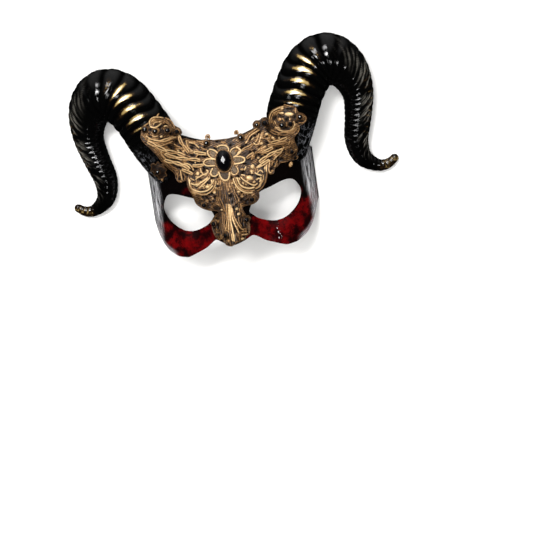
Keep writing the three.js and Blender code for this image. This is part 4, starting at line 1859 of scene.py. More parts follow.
LEFT_WING = Motif(
    cords=(
        Cord(((206.4, 139.6), (205.6, 137.2), (206.8, 134.8), (208.8, 134.8), (209.8, 137.2),
            (209, 139.6)), 0.7, 0.2),
        Cord(((146.9, 141.2), (152.9, 144.2), (157.6, 146.5), (161.9, 148.7), (166.1, 150.5),
            (170.8, 151.7), (176.1, 152.5), (181.5, 154.4), (185.6, 155.8)), 1.05, 0.4, 1.3),
        Cord(((147.6, 139.2), (154.7, 141), (160.1, 141.2), (165.4, 140), (169.9, 138.6),
            (173.5, 136.2)), 0.9, 0.3, 1.1),
        Cord(((154.7, 142.3), (161.1, 145.2), (164.7, 144.3), (169, 142.8), (173, 140.8)), 0.75, 0.2),
        Cord(((164.4, 153.4), (168.3, 155.2), (171.1, 156.3), (176.1, 157.4), (179.7, 158.3),
            (185.1, 158.8), (190.4, 159.2), (196.3, 159.5), (201, 161)), 1, 0.35, 1.1),
        Cord(((164, 159.1), (167.6, 160.9), (172.6, 162), (177.2, 163), (181.5, 164.4), (186.1, 166.2),
            (190.4, 169.4)), 1.05, 0.4, 1.2),
        Cord(((181.5, 169.1), (185.1, 170.6), (189.7, 172.4), (193.4, 174.4)), 0.95, 0.3, 1),
        Cord(((184, 163), (188.6, 164), (191.9, 166.6), (194, 171)), 0.95, 0.3),
        Cord(((149.4, 145.1), (154.7, 148.7), (159, 153.4), (162.6, 158), (166.1, 162.3), (170.4, 166.2),
            (174.7, 168.6), (177.4, 171.4), (176.4, 175.5)), 0.6, 0.1, 1.1),
        Cord(((153.4, 148.4), (156.6, 151.4), (159.6, 155.4), (163.4, 160.6), (168, 165.4)), 0.5),
        Cord(((156.1, 146.6), (159.4, 150.4), (162.6, 155.4), (166, 158.9)), 0.75),
        Cord(((180.4, 170.1), (181.1, 173.7), (181.9, 178), (182.6, 180.5)), 0.9, 0.2),
        Cord(((176.4, 173), (178.3, 175.6), (177.6, 179.4), (179.7, 182.4)), 0.6),
        Cord(((183.3, 173), (185.4, 176.6), (184.4, 180.4)), 0.55),
        Cord(((179.1, 135.6), (180.4, 140.3), (182.3, 143.7), (184.8, 147.1), (187.6, 150.9),
            (189.4, 153.4)), 1, 0.4, 1.2),
        Cord(((186.3, 139.6), (186.9, 143.4), (188.5, 147.4), (190.9, 149.8), (191.6, 152.4)), 0.95, 0.2),
        Cord(((173.3, 143.4), (176.9, 146), (181, 147.4)), 0.85),
        Cord(((174.7, 149.1), (179.7, 148.6), (183.6, 148.6)), 0.75),
        Cord(((188.5, 142.1), (191.6, 142.8), (194.8, 143.7), (197.3, 145.9), (199.6, 148.4)), 0.95, 0.2),
        Cord(((193.2, 151.5), (197.9, 152.8), (202.6, 153.4), (207, 154)), 1.05, 0.35, 1.1),
        Cord(((192, 165.2), (196.3, 165.9), (201, 165.3), (204.4, 164.4)), 0.9, 0.2, 1),
        Cord(((195.1, 160.9), (195.8, 164.2)), 0.85, 0.2),
        Cord(((198.8, 153.8), (196.8, 156.2), (195.4, 158.6)), 0.7),
        Cord(((196.2, 140.6), (200.4, 141.6), (204.6, 140.6)), 0.75),
        Cord(((200.4, 146.6), (203.6, 148.8), (207.6, 149.8)), 0.7),
    ),
    gaps=spots(
        (170.4, 146.4, 3, 1.3, -28), (171.6, 149, 1.4, 0.8, -20), (177.3, 141.3, 2.5, 1.3, -10),
        (180.9, 145.5, 1.8, 1.1, -15), (179.9, 151.5, 1.5, 0.7, -10), (186.5, 152.2, 1.5, 1.1, -30),
        (169.7, 153.6, 2.8, 0.6, -12), (176.1, 155.5, 2.4, 0.6, -12), (192.2, 155.2, 2.4, 1.2),
        (166.9, 158.6, 1.6, 0.6, -25), (171.5, 159.3, 1, 0.8), (178.3, 160.9, 2, 0.6, -8),
        (191.1, 161.9, 3.4, 1.1, -15), (174, 165, 1.4, 0.8, -20), (178.3, 167.5, 2.8, 1, -5),
        (187.8, 164.9, 1.8, 0.6, -25), (190.1, 166.9, 1.4, 0.7, -30), (195.1, 168.3, 1.9, 1.5),
        (171.9, 170.8, 2, 1, -35), (186.9, 169.2, 1.5, 0.5, -25), (179, 172, 0.7, 1.5),
        (183.3, 177, 0.8, 1.6, 10), (179.5, 179, 0.8, 1.4), (187, 175, 1.3, 1.3),
        (190.9, 171, 1.2, 0.8, -25), (192.4, 145, 2.8, 0.7, -18), (191.6, 147.3, 2, 1.2),
        (197.9, 148.2, 1.6, 0.7, -35), (199.8, 144.9, 0.8, 0.9), (205.1, 147.1, 1.9, 0.9, 20),
        (203.6, 151.4, 3, 0.7, -8), (198.6, 156.5, 2.3, 1, 18), (208, 156.8, 2.4, 0.7, -15),
        (199.1, 162.7, 2.7, 1, -10), (203.2, 167.1, 0.8, 2), (184.6, 140, 1.2, 1.8, 20),
        (189.8, 167, 0.6, 1.3, 30), (160.6, 158, 2, 0.9, -35),
    ),
    pads=spots(
        (178.1, 150.4, 1.4, 0.7, -5, 1.5), (183.4, 151.4, 1.4, 0.8, 0, 1.2),
        (161.1, 151.8, 1.2, 0.9, 0, 1.2), (152.6, 146.6, 0.8, 0.8, 0, 0.9),
        (191.5, 151, 1.2, 1.6, 10, 1.2), (161.3, 136.6, 1.3, 1.4, 0, 1.3),
        (194, 142, 2.4, 1.2, -12, 0.8), (207.7, 137.2, 1.5, 1.9, 0, 0.5), (162, 180, 1.3, 2, 0, 0.7),
    ),
)


RIGHT_FAN = Motif(
    paler=0.22,
    cords=(
        Cord(((233.3, 177.5), (234, 181), (236, 185), (239, 188.7), (243, 191.3), (248.5, 192.7),
            (253.5, 192)), 1, 0.3),
        Cord(((234.8, 176.4), (236.2, 181.4), (238.4, 185.6), (241.4, 188.6), (245.4, 190.4),
            (250.4, 190.8), (255.4, 189.6)), 0.6, 0.1),
        Cord(((236.5, 176.5), (238, 180), (239.5, 183.5), (242, 186), (246, 187.7), (251, 188),
            (255, 186.8)), 1.15, 0.4),
        Cord(((255, 188.6), (259.4, 186.4), (262, 182), (263.4, 177.6), (262.8, 174)), 0.7, 0.2),
        Cord(((256, 191.4), (261.4, 188), (264.8, 182.4), (266.2, 176.4), (266.4, 170.6)), 0.45, 0),
        Cord(((258.6, 186.8), (261, 181.4), (260.8, 176.4)), 0.8, 0.2),
        Cord(((240.4, 174.6), (243, 174.9), (246, 175.4)), 0.9, 0.2),
        Cord(((240.6, 176.4), (243, 179.2), (247, 181.8), (251, 184.2), (255, 184.8),
            (258, 182.6)), 0.95, 0.3),
        Cord(((254.6, 172.4), (258, 174.3), (262.4, 175.5)), 1.1, 0.3),
        Cord(((256, 167.6), (259.5, 166.3), (262, 164.6)), 0.9, 0.2),
        Cord(((266.3, 164.6), (266.5, 168), (266.3, 172)), 0.85, 0.2),
        Cord(((246.2, 166), (245.2, 168.4), (244.2, 170.6)), 1, 0.2),
        Cord(((256.8, 173.2), (260.4, 170.2), (263.6, 173)), 0.8, 0.1),
        Cord(((256, 180.4), (258.4, 178.2), (260.6, 179.4), (259.2, 182.4)), 0.95, 0.2),
        Cord(((250.4, 171), (252.4, 173), (250.6, 173.6)), 0.8, 0.1),
        Cord(((242.4, 181.6), (244, 184.6)), 0.9, 0.1),
        Cord(((245.4, 183), (246.6, 185.6)), 0.8, 0.1),
        Cord(((238.4, 177), (240.6, 180.4)), 0.9, 0.1),
    ),
    gaps=spots(
        (241.7, 173.2, 2, 0.7, -12), (250.8, 174.5, 4.2, 0.5, -4), (258, 176.7, 2, 1, -15),
        (237.5, 176.6, 1.7, 0.9, -5), (250.4, 185.6, 2.2, 0.7, -35), (246.8, 186, 1.1, 0.5, -30),
        (255, 183.4, 1, 0.8), (241.4, 179, 0.9, 0.6), (231.4, 177, 0.7, 1.5), (232.3, 184.7, 0.9, 0.9),
        (235, 190.6, 1.1, 1.4, 20), (241.8, 192.9, 1.1, 1.1), (239.2, 196.5, 1.1, 0.9),
        (236.3, 193.6, 0.8, 0.7), (247.4, 195.6, 1.8, 0.9, 30), (242, 199.6, 1.6, 1.2),
        (246.6, 201, 1.5, 1), (243.4, 194.6, 0.8, 0.8), (263.4, 166.6, 0.6, 1.4, 10),
        (231, 196, 1.2, 1.8), (237, 199.4, 0.8, 1.2),
    ),
    pads=spots(
        (252.5, 166.4, 2.2, 2.4, 0, 1.5), (249.6, 177.8, 4, 2.6, -8, 1.25),
        (254.2, 182, 1.8, 1.6, 0, 1), (265, 168, 1.3, 1.9, 0, 1.2), (255.6, 173, 1.2, 0.9, -20, 1.4),
        (242, 169.4, 2.2, 1.4, 0, 0.95), (238.7, 191.7, 1.8, 1.3, 0, 1.2),
        (232.3, 183.2, 1, 1.1, 0, 1.4), (235.6, 187.4, 1.1, 1.2, 0, 1.1), (251.6, 171, 2, 1.6, -5, 1.1),
        (242.4, 196.4, 1.5, 1.4, 0, 0.85), (247.4, 180.4, 1.4, 1, 0, 0.9),
        (229.2, 193.6, 1.2, 0.8, 0, 1),
    ),
)


LEFT_FAN = Motif(
    paler=0.22,
    cords=(
        Cord(((188.6, 177), (189.2, 182), (191.2, 187), (194.6, 190.8), (199.4, 193.8), (204.4, 194.6),
            (209, 192.8), (213, 189.2), (215.4, 184.6), (216, 180)), 0.65, 0.1),
        Cord(((192.8, 188.8), (197, 191), (201, 191.7), (206, 190.9), (210, 188.6),
            (213, 185)), 1.1, 0.35),
        Cord(((199, 188.4), (203, 184.4), (207, 180.6), (210.4, 177)), 1, 0.35),
        Cord(((196.6, 186.4), (200.4, 183), (204.4, 180), (208.6, 177)), 0.9, 0.3),
        Cord(((195.6, 184.2), (199, 183.6), (203.4, 181.4), (208, 178.2)), 0.75, 0.1),
        Cord(((190.6, 183), (194, 184.5), (198.4, 184.7)), 1.1, 0.3),
        Cord(((195, 176.6), (199, 177), (202.4, 175), (206, 173.6), (208.4, 171.6),
            (206, 169.4)), 0.95, 0.25),
        Cord(((195.2, 180), (197.4, 178), (199.4, 176.4)), 0.95, 0.2),
        Cord(((200.5, 167.4), (201.5, 171.6), (203.4, 174.4)), 0.85, 0.2),
        Cord(((190, 177.6), (192.6, 179.4), (195, 180.4)), 0.85, 0.1),
        Cord(((190.2, 186.4), (189.6, 182.4), (189.8, 178.6)), 0.9, 0.1),
        Cord(((211.8, 179), (211.8, 181.4), (212.4, 184)), 1.1, 0.2),
        Cord(((209.6, 186.6), (212.6, 182.6), (214.6, 178.8)), 0.8, 0.1),
        Cord(((206.8, 183.6), (208.8, 185.2), (210.6, 184)), 0.8, 0.1),
        Cord(((199.8, 186.6), (203.4, 186.2), (206, 184.6)), 0.8, 0.2),
    ),
    gaps=spots(
        (195.3, 168.3, 2, 1.6), (203.6, 169.6, 1, 3, -15), (213, 178, 1.6, 0.8), (217.5, 177, 0.8, 1.2),
        (193.6, 181.4, 1.6, 0.6, -10), (192.3, 185, 1.1, 0.8, -35), (196, 187.6, 1.1, 0.7, -40),
        (199.8, 179.2, 2.6, 0.6, -10), (202, 189.5, 1.4, 0.8, -20), (207.4, 183, 1.7, 0.5),
        (206.4, 188.5, 1.2, 0.5, -30), (217.8, 186.3, 1.4, 0.8), (212.2, 193.8, 1.9, 1.1),
        (208.7, 195, 1.2, 1.1), (215, 197.5, 1.3, 1.8), (206.9, 197.8, 2.6, 1, -38),
        (202.8, 197, 1.1, 1.3), (198.3, 198.5, 1.5, 0.9), (213.4, 201.2, 1.2, 0.7),
        (209.6, 202, 1.2, 0.9), (217, 191, 0.7, 1), (191.3, 171.8, 1.1, 1.6), (196.3, 195.6, 0.9, 0.6),
        (203, 200.6, 1, 0.7, -30),
    ),
    pads=spots(
        (197.6, 173.6, 1.9, 2, 0, 1.6), (207.4, 187, 2.5, 2, 0, 1.5), (214.4, 192.6, 1.7, 1.5, 0, 1.4),
        (217.6, 184, 1.2, 1, 0, 1.2), (196.4, 186.3, 0.8, 0.7, 0, 1.2), (190, 181, 0.9, 1.8, 0, 1.1),
        (203.8, 187.8, 1.2, 1, 0, 1), (200.2, 182.4, 2.2, 1.1, 40, 0.95),
        (212.6, 198.6, 1.5, 1.3, 0, 0.9), (215.8, 188, 1.1, 1.3, 0, 1.1),
    ),
)


RIGHT_ROSE = Motif(
    cords=(
        Cord(((269.4, 120), (270.4, 115.4), (272.6, 111.5), (277, 108.9), (281, 107.3),
            (284.4, 106.4)), 1, 0.3),
        Cord(((271.2, 121.4), (272.2, 116.6), (274.4, 113), (278.4, 110.6), (283, 109.9)), 0.7, 0.1),
        Cord(((283.4, 104.4), (288, 105.6), (294.4, 107.2)), 0.7, 0.2),
        Cord(((295.3, 107.4), (295.4, 110.4), (295.6, 113.6)), 0.85, 0.3),
        Cord(((270.4, 130), (275, 132.6), (281, 133.7), (288, 133.2), (293, 131),
            (296, 127.6)), 0.6, 0.1, 1.4),
        Cord(((275, 126.2), (279, 129.6), (284, 131), (290, 130.2), (294, 127.2)), 0.9, 0.3),
        Cord(((293, 120.4), (294.8, 124), (292.6, 127.8)), 0.95, 0.2),
        Cord(((286.8, 121.6), (286.4, 124.4), (287, 127)), 0.6, 0.2),
        Cord(((273.8, 120.4), (275.8, 122.4), (276, 125)), 0.85, 0.2),
        Cord(((276, 127.8), (278.4, 127.2), (280.6, 129)), 1, 0.2),
        Cord(((297.4, 119.6), (297, 116), (298.6, 114.2)), 0.75, 0.1),
        Cord(((303.4, 115.4), (305.5, 117.2), (305.4, 120), (303, 122.5), (298, 122.6)), 0.65, 0.1),
        Cord(((303, 116.4), (304, 118.6), (302.4, 120.6)), 0.6, 0.1),
        Cord(((295.4, 123.4), (297.8, 127), (296.8, 131.6), (293, 134.6)), 0.55, 0, 1.2),
        Cord(((290.6, 117.6), (289.8, 120.2), (292, 121)), 0.8, 0.1),
        Cord(((281.4, 117.8), (283.6, 119.4), (284.4, 121.6)), 0.8, 0.1),
    ),
    gaps=spots(
        (289.4, 108.9, 4.6, 0.7), (279.5, 114.8, 1.3, 0.9), (274.8, 118, 1, 2, -25),
        (283, 116.7, 0.7, 0.7), (286.4, 119.3, 1.1, 1.3, -20), (294.6, 117, 1, 1.5),
        (281, 124.2, 2.2, 1.7, -20), (286.4, 128, 2.6, 1.2, -15), (296.6, 122.9, 0.9, 0.8),
        (300.2, 124.6, 1.4, 0.9), (277.4, 129.2, 1.1, 0.6, -20), (291.6, 122.4, 1, 1),
        (300.4, 119.6, 1.5, 0.8), (276.6, 110.2, 1.4, 0.5, 30), (302, 118, 1, 1.3),
        (273.4, 127.4, 1, 0.7),
    ),
    pads=spots(
        (289, 114.2, 5.2, 2.2, 0, 1.35), (281.4, 113, 3, 1.3, 5, 1.1), (282, 108.4, 2, 1.3, 15, 1.2),
        (279.4, 119.4, 2.6, 2.2, 0, 0.7), (290, 118.4, 1.1, 0.9, 0, 1), (286, 132, 5, 1.2, 0, 0.55),
    ),
)


LEFT_ROSE = Motif(
    cords=(
        Cord(((150.2, 125.6), (149.4, 122), (151, 119), (154.5, 117.2), (159.2, 117.3),
            (164, 118.2)), 1.05, 0.35),
        Cord(((150.2, 125.6), (151.6, 127.2), (155, 127.5), (158.6, 125.6), (161.6, 123)), 1.05, 0.35),
        Cord(((164, 118.2), (168, 120.5), (172, 125), (174.5, 129.2)), 0.75, 0.2, 1.3),
        Cord(((152.4, 122.6), (154.6, 120.4), (159, 119.8), (163.6, 121)), 0.6, 0.2),
        Cord(((152.8, 124.8), (155, 122.4), (158.6, 122)), 0.85, 0.2),
        Cord(((163, 121.4), (167, 123.4), (170.4, 127.2), (172, 131)), 0.65, 0.1),
        Cord(((163, 127.2), (166, 125.8), (169.4, 128.4)), 1, 0.2),
        Cord(((145.7, 135.8), (152.6, 139.5), (159.5, 140.6), (165, 141.2), (170.7, 138.4),
            (176.8, 137)), 0.9, 0.3),
        Cord(((144.6, 138.4), (150.4, 141.8), (158, 143.4), (165, 143)), 0.65, 0.2),
        Cord(((141, 133), (144.6, 137), (149.4, 140.4)), 0.6, 0.1),
        Cord(((151.6, 134.8), (154.4, 136.6), (158.6, 135.6)), 0.85, 0.1),
        Cord(((178.6, 134.4), (180.4, 138.4)), 0.85, 0.1),
        Cord(((156.6, 116.4), (158.2, 114.4), (159.4, 113.2)), 0.8, 0),
        Cord(((142, 128.6), (145, 125.4), (148.6, 123)), 0.75, 0.1),
    ),
    gaps=spots(
        (164.9, 125, 2.4, 0.8, 5), (160.4, 127, 1.6, 0.8, 30), (170, 128.6, 1.2, 1.9, -30),
        (149.2, 133.5, 0.7, 0.7), (159, 130.2, 0.9, 1.7, -25), (170.7, 133.6, 1, 1.9),
        (150, 136.6, 1.7, 0.7, -20), (167.2, 137.6, 1.7, 0.8, 15), (154.4, 124.8, 1, 0.6),
        (147.7, 125.2, 1.1, 0.7, 30), (150.6, 129.4, 0.8, 1.2), (162.6, 138.6, 1.4, 0.7),
        (172.4, 141, 1.4, 0.6, 10), (158.6, 119, 2.2, 0.4),
    ),
    pads=spots(
        (160.4, 121.4, 2.2, 0.9, 10, 1), (153.6, 124.2, 0.9, 0.9, 0, 1.1),
        (168, 119.4, 1.2, 0.8, -30, 0.9),
    ),
)


NOSE = Motif(
    paler=-0.15,
    cords=(
        Cord(((219.4, 188), (219, 194), (220.2, 200), (222.6, 206), (225.4, 213),
            (226.6, 219)), 0.7, 0.2, 1.2),
        Cord(((230.6, 184), (232.4, 188), (234.2, 193), (236.6, 198), (238.4, 203)), 0.75, 0.2, 1.2),
        Cord(((222.6, 181.6), (222.8, 188), (223.6, 196), (225.2, 204)), 0.5, 0.1),
        Cord(((224.8, 182), (225, 188), (225.4, 195), (226.6, 203)), 0.6, 0.15),
        Cord(((227.2, 181.8), (227.2, 187), (227.4, 193)), 0.55, 0.15),
        Cord(((229.6, 181.4), (229.7, 185), (230.2, 188.4)), 0.9, 0.2),
        Cord(((227.6, 197), (228, 201), (228.8, 206)), 0.6, 0.1),
        Cord(((226.4, 203), (226.9, 209.6), (227.5, 216.8), (227.2, 221), (226.6, 225.6),
            (226.2, 230)), 1, 0.4),
        Cord(((228.2, 203.4), (228.8, 209), (229.2, 215.6), (229.2, 221), (229, 226),
            (229.2, 230.4)), 1.05, 0.5),
        Cord(((229.4, 203.6), (230, 209.6), (230.6, 216), (231, 221.6), (232, 226.6), (233, 232),
            (234, 238), (234.4, 242)), 1.25, 0.6),
        Cord(((230.8, 204.4), (231.6, 211.4), (232.5, 217.5), (233.9, 222.2), (236, 226.8), (238, 231),
            (239.4, 234)), 1.1, 0.5),
        Cord(((232, 207.4), (233, 213.3), (234.4, 217.4), (236.6, 221.6), (238.8, 225.6), (241.4, 228.7),
            (244.6, 230.4)), 1, 0.4),
        Cord(((231.6, 233), (232.2, 237), (233, 241.4)), 1.15, 0.4),
        Cord(((224.4, 213.6), (224.2, 218), (223.8, 223), (224.6, 229), (224.4, 235)), 0.7, 0.2, 1.1),
        Cord(((221.8, 211.4), (222.6, 216.4), (222.2, 221.6), (221.4, 226), (221.6, 231),
            (222.6, 236)), 0.55, 0.1, 1),
        Cord(((240.6, 210.4), (244.5, 215), (247.2, 219.2), (248.7, 224.5), (249, 229.8), (248.4, 233.8),
            (244.4, 234.8)), 0.6, 0.2),
        Cord(((239.6, 214.6), (242.6, 216.6), (245.2, 220), (246.6, 224.6), (247, 229)), 0.4, 0.1),
        Cord(((239, 216.4), (238.6, 219.6), (239.6, 223.4), (242, 227)), 0.7, 0.2),
        Cord(((241.4, 229.8), (244, 228.8), (247, 229.2)), 0.8, 0.1),
        Cord(((240.8, 232), (244, 231.2), (247.6, 231.8)), 0.75, 0.1),
        Cord(((240.6, 234.4), (244.4, 234.6), (248, 233.6)), 1.1, 0.2),
        Cord(((239.8, 238.6), (242.2, 240.4), (245, 238.6)), 0.5, 0.1),
        Cord(((238.4, 232.4), (237.4, 235.2), (238.6, 237.6), (240, 235)), 0.6, 0.1),
        Cord(((234.6, 243), (236.6, 241.2), (238.6, 241.4)), 0.6, 0.1),
        Cord(((219.6, 214.4), (216.4, 217), (213.4, 220), (212.6, 225), (214, 230.6), (216.6, 235.2),
            (220.6, 238)), 0.4, 0.1),
        Cord(((219.4, 218.6), (220.4, 223), (219.8, 228), (218.4, 232)), 0.45, 0.1),
        Cord(((218.6, 239.4), (221, 238.6), (223.2, 237.6)), 0.7, 0.1),
        Cord(((215, 229.6), (217.4, 231.4), (219, 234.6)), 0.35, 0),
        Cord(((227.4, 239.4), (226.8, 242.4), (228.4, 244.8)), 0.6, 0.1),
        Cord(((229.4, 239), (230.2, 242), (230.8, 245)), 0.55, 0.1),
        Cord(((224.8, 237.6), (225, 241), (226.4, 244)), 0.5, 0.1),
        Cord(((240.4, 203.6), (242.6, 201), (246, 202.6)), 0.35, 0),
        Cord(((245, 205), (250, 203.4), (254.6, 200.4), (257.6, 196.4), (257.6, 192.6)), 0.35, 0),
        Cord(((246.4, 197.4), (248.6, 194.8), (251.6, 194.4)), 0.45, 0),
        Cord(((240.6, 197.4), (241.4, 194.6), (243.8, 193.4)), 0.75, 0.1),
        Cord(((194.4, 196), (195.8, 200.6), (198.8, 204.6), (203.6, 207.8), (209.6, 209.4),
            (215, 209)), 0.35, 0),
        Cord(((196.4, 196.6), (195.9, 199), (198, 200.8)), 0.5, 0),
        Cord(((200.8, 197.2), (202.4, 199.2), (204.6, 200.2)), 0.85, 0.1),
        Cord(((205.8, 199.4), (207.6, 200.2), (209.4, 201.6)), 0.85, 0.1),
        Cord(((210.4, 204.6), (213.4, 202.8), (217, 203)), 0.5, 0),
        Cord(((211.6, 207.4), (215, 205.8), (219, 206.4)), 0.4, 0),
        Cord(((216.4, 196.6), (217, 200), (219, 203.4)), 0.6, 0.1),
    ),
    gaps=spots(
        (229.6, 195.8, 1.6, 1.2), (224.2, 196.4, 0.8, 0.5), (230.1, 191, 0.6, 1.2),
        (228.6, 203.4, 0.5, 1.4), (221.8, 203.6, 0.8, 1.4, 15), (222.6, 207.4, 1, 1.5),
        (232.4, 201.8, 1, 1.4, -15), (236.6, 204.6, 1, 0.8), (233.7, 207.3, 1.1, 1.5),
        (234.2, 210.4, 1.1, 0.6), (236.7, 212.4, 0.8, 1.2, -15), (236.4, 217.2, 0.9, 0.8),
        (221.8, 214.6, 0.8, 0.8), (225.5, 221.4, 0.4, 3.4, 4), (218.2, 227, 1.2, 2.6, 8),
        (235.2, 228.8, 0.6, 1.8, 25), (232.4, 223.4, 0.4, 1.6, 15), (239.6, 228.6, 0.6, 1.8, 30),
        (242.8, 224.8, 0.9, 1.8, 10), (240.4, 219.6, 0.9, 1.6), (236.4, 231.4, 0.6, 1.2, 15),
        (243.8, 236.2, 2.4, 0.5), (234, 243.6, 0.8, 0.8), (222.4, 228.4, 0.5, 1.6),
        (216.4, 218.8, 1.4, 1, 30), (213.8, 227, 0.8, 1.4), (242.2, 200.4, 2.2, 0.9, 5),
        (248.8, 199.6, 2, 1), (246.4, 203.2, 1.6, 0.6, 10), (252.6, 204, 2, 0.6, 15),
        (211.6, 204.6, 1.2, 0.6, 20), (209.4, 207.6, 1.4, 0.5, -10), (213.4, 211, 0.6, 0.6),
        (204.8, 206.2, 1.4, 0.5, -25), (199.6, 203.4, 1, 0.5, -40), (219.6, 208.6, 1.4, 0.7),
        (245.8, 208, 1, 0.7), (217.6, 234.4, 1, 0.6, -30), (226, 234, 0.5, 1),
    ),
    pads=spots(
        (236.8, 208.8, 1.5, 1.4, 0, 1.5), (238.7, 214, 1.7, 1.5, 0, 1.5), (221.6, 209.8, 1.5, 1, 0, 1),
        (234, 237.4, 1.5, 4, 0, 1.35), (242.2, 239, 2.3, 1.1, 10, 1.3), (228.4, 241, 1.5, 1.9, 10, 0.7),
        (223, 217, 1.4, 3.4, 0, 0.75), (238.3, 235.2, 1, 1.6, 0, 0.7), (224.6, 209.6, 1.2, 2.4, 0, 0.7),
        (247.6, 226, 0.8, 2.6, 5, 0.45),
    ),
)


OUTLINE = (
    (141.5, 132), (144, 127), (148.5, 122.5), (151, 118.5), (155, 116.8), (161, 117), (167, 119.5),
    (172, 124.5), (176.4, 127), (180.4, 129.4), (181.4, 133), (180, 135.8), (182, 139.5), (186, 138.8),
    (192, 140.2), (198, 140.6), (204, 140), (209, 140), (213, 140.4), (218, 140), (223, 139.4),
    (228, 138.8), (232, 137.8), (236, 136.8), (240, 135.8), (245, 134), (250, 131.4), (253.8, 128.4),
    (252.9, 124.4), (255.4, 121), (259.6, 120.6), (262, 118.4), (265.4, 117.6), (268, 118.4),
    (269, 115), (271.5, 111), (277, 107.8), (283, 106), (289, 105.4), (295, 106.6), (298, 112),
    (303, 113.8), (306.2, 117), (306, 121), (303, 123.6), (299, 126), (298.4, 130), (296.6, 134),
    (294, 137), (294.2, 141), (296, 145), (297.5, 149), (296, 154), (294.6, 159), (290, 160),
    (286.8, 161.6), (280.6, 162.8), (277.6, 166), (274.6, 168.4), (273.4, 173.2), (269.4, 173.8),
    (267.6, 171), (267, 176.6), (265.4, 182.6), (262, 188), (258.4, 191), (259, 195), (258.2, 199.4),
    (254, 203.2), (247, 205.2), (243, 206.6), (242.6, 210), (245.4, 214.4), (248, 219), (249.6, 224.6),
    (249.8, 230), (249, 234.2), (245.4, 236.6), (245.2, 239.6), (241, 241), (237, 242.4), (234, 244.6),
    (231, 246), (227, 245), (224.6, 242), (223, 239), (219, 239.6), (215.4, 236), (213.2, 231),
    (211.8, 224), (213, 219), (216, 215), (219.4, 212), (216, 210.6), (209, 210.2), (202, 207.8),
    (196.6, 203.8), (194.2, 199), (192, 194), (189.4, 190), (187.4, 184), (187.2, 178), (186.4, 176),
    (185.6, 180.2), (183, 181.2), (181, 182.4), (178.6, 182), (176.4, 179), (175, 174), (172, 170.6),
    (167.6, 167.4), (162, 161.6), (157.6, 156), (153, 151), (148.6, 146.6), (144, 142.6), (141, 137.4),
)


SIDE_LEAF = (
    (151, 165), (153.6, 163.4), (155.4, 165), (158, 161.8), (160.2, 164.6), (163.4, 163.8),
    (164, 167.4), (166.8, 169.4), (165, 172), (166.6, 175.4), (163.6, 177), (162.8, 181.4),
    (160.4, 178.6), (158.6, 179.4), (157.6, 175.6), (154.4, 175.8), (153.8, 172), (150.8, 170.8),
    (151.8, 168),
)


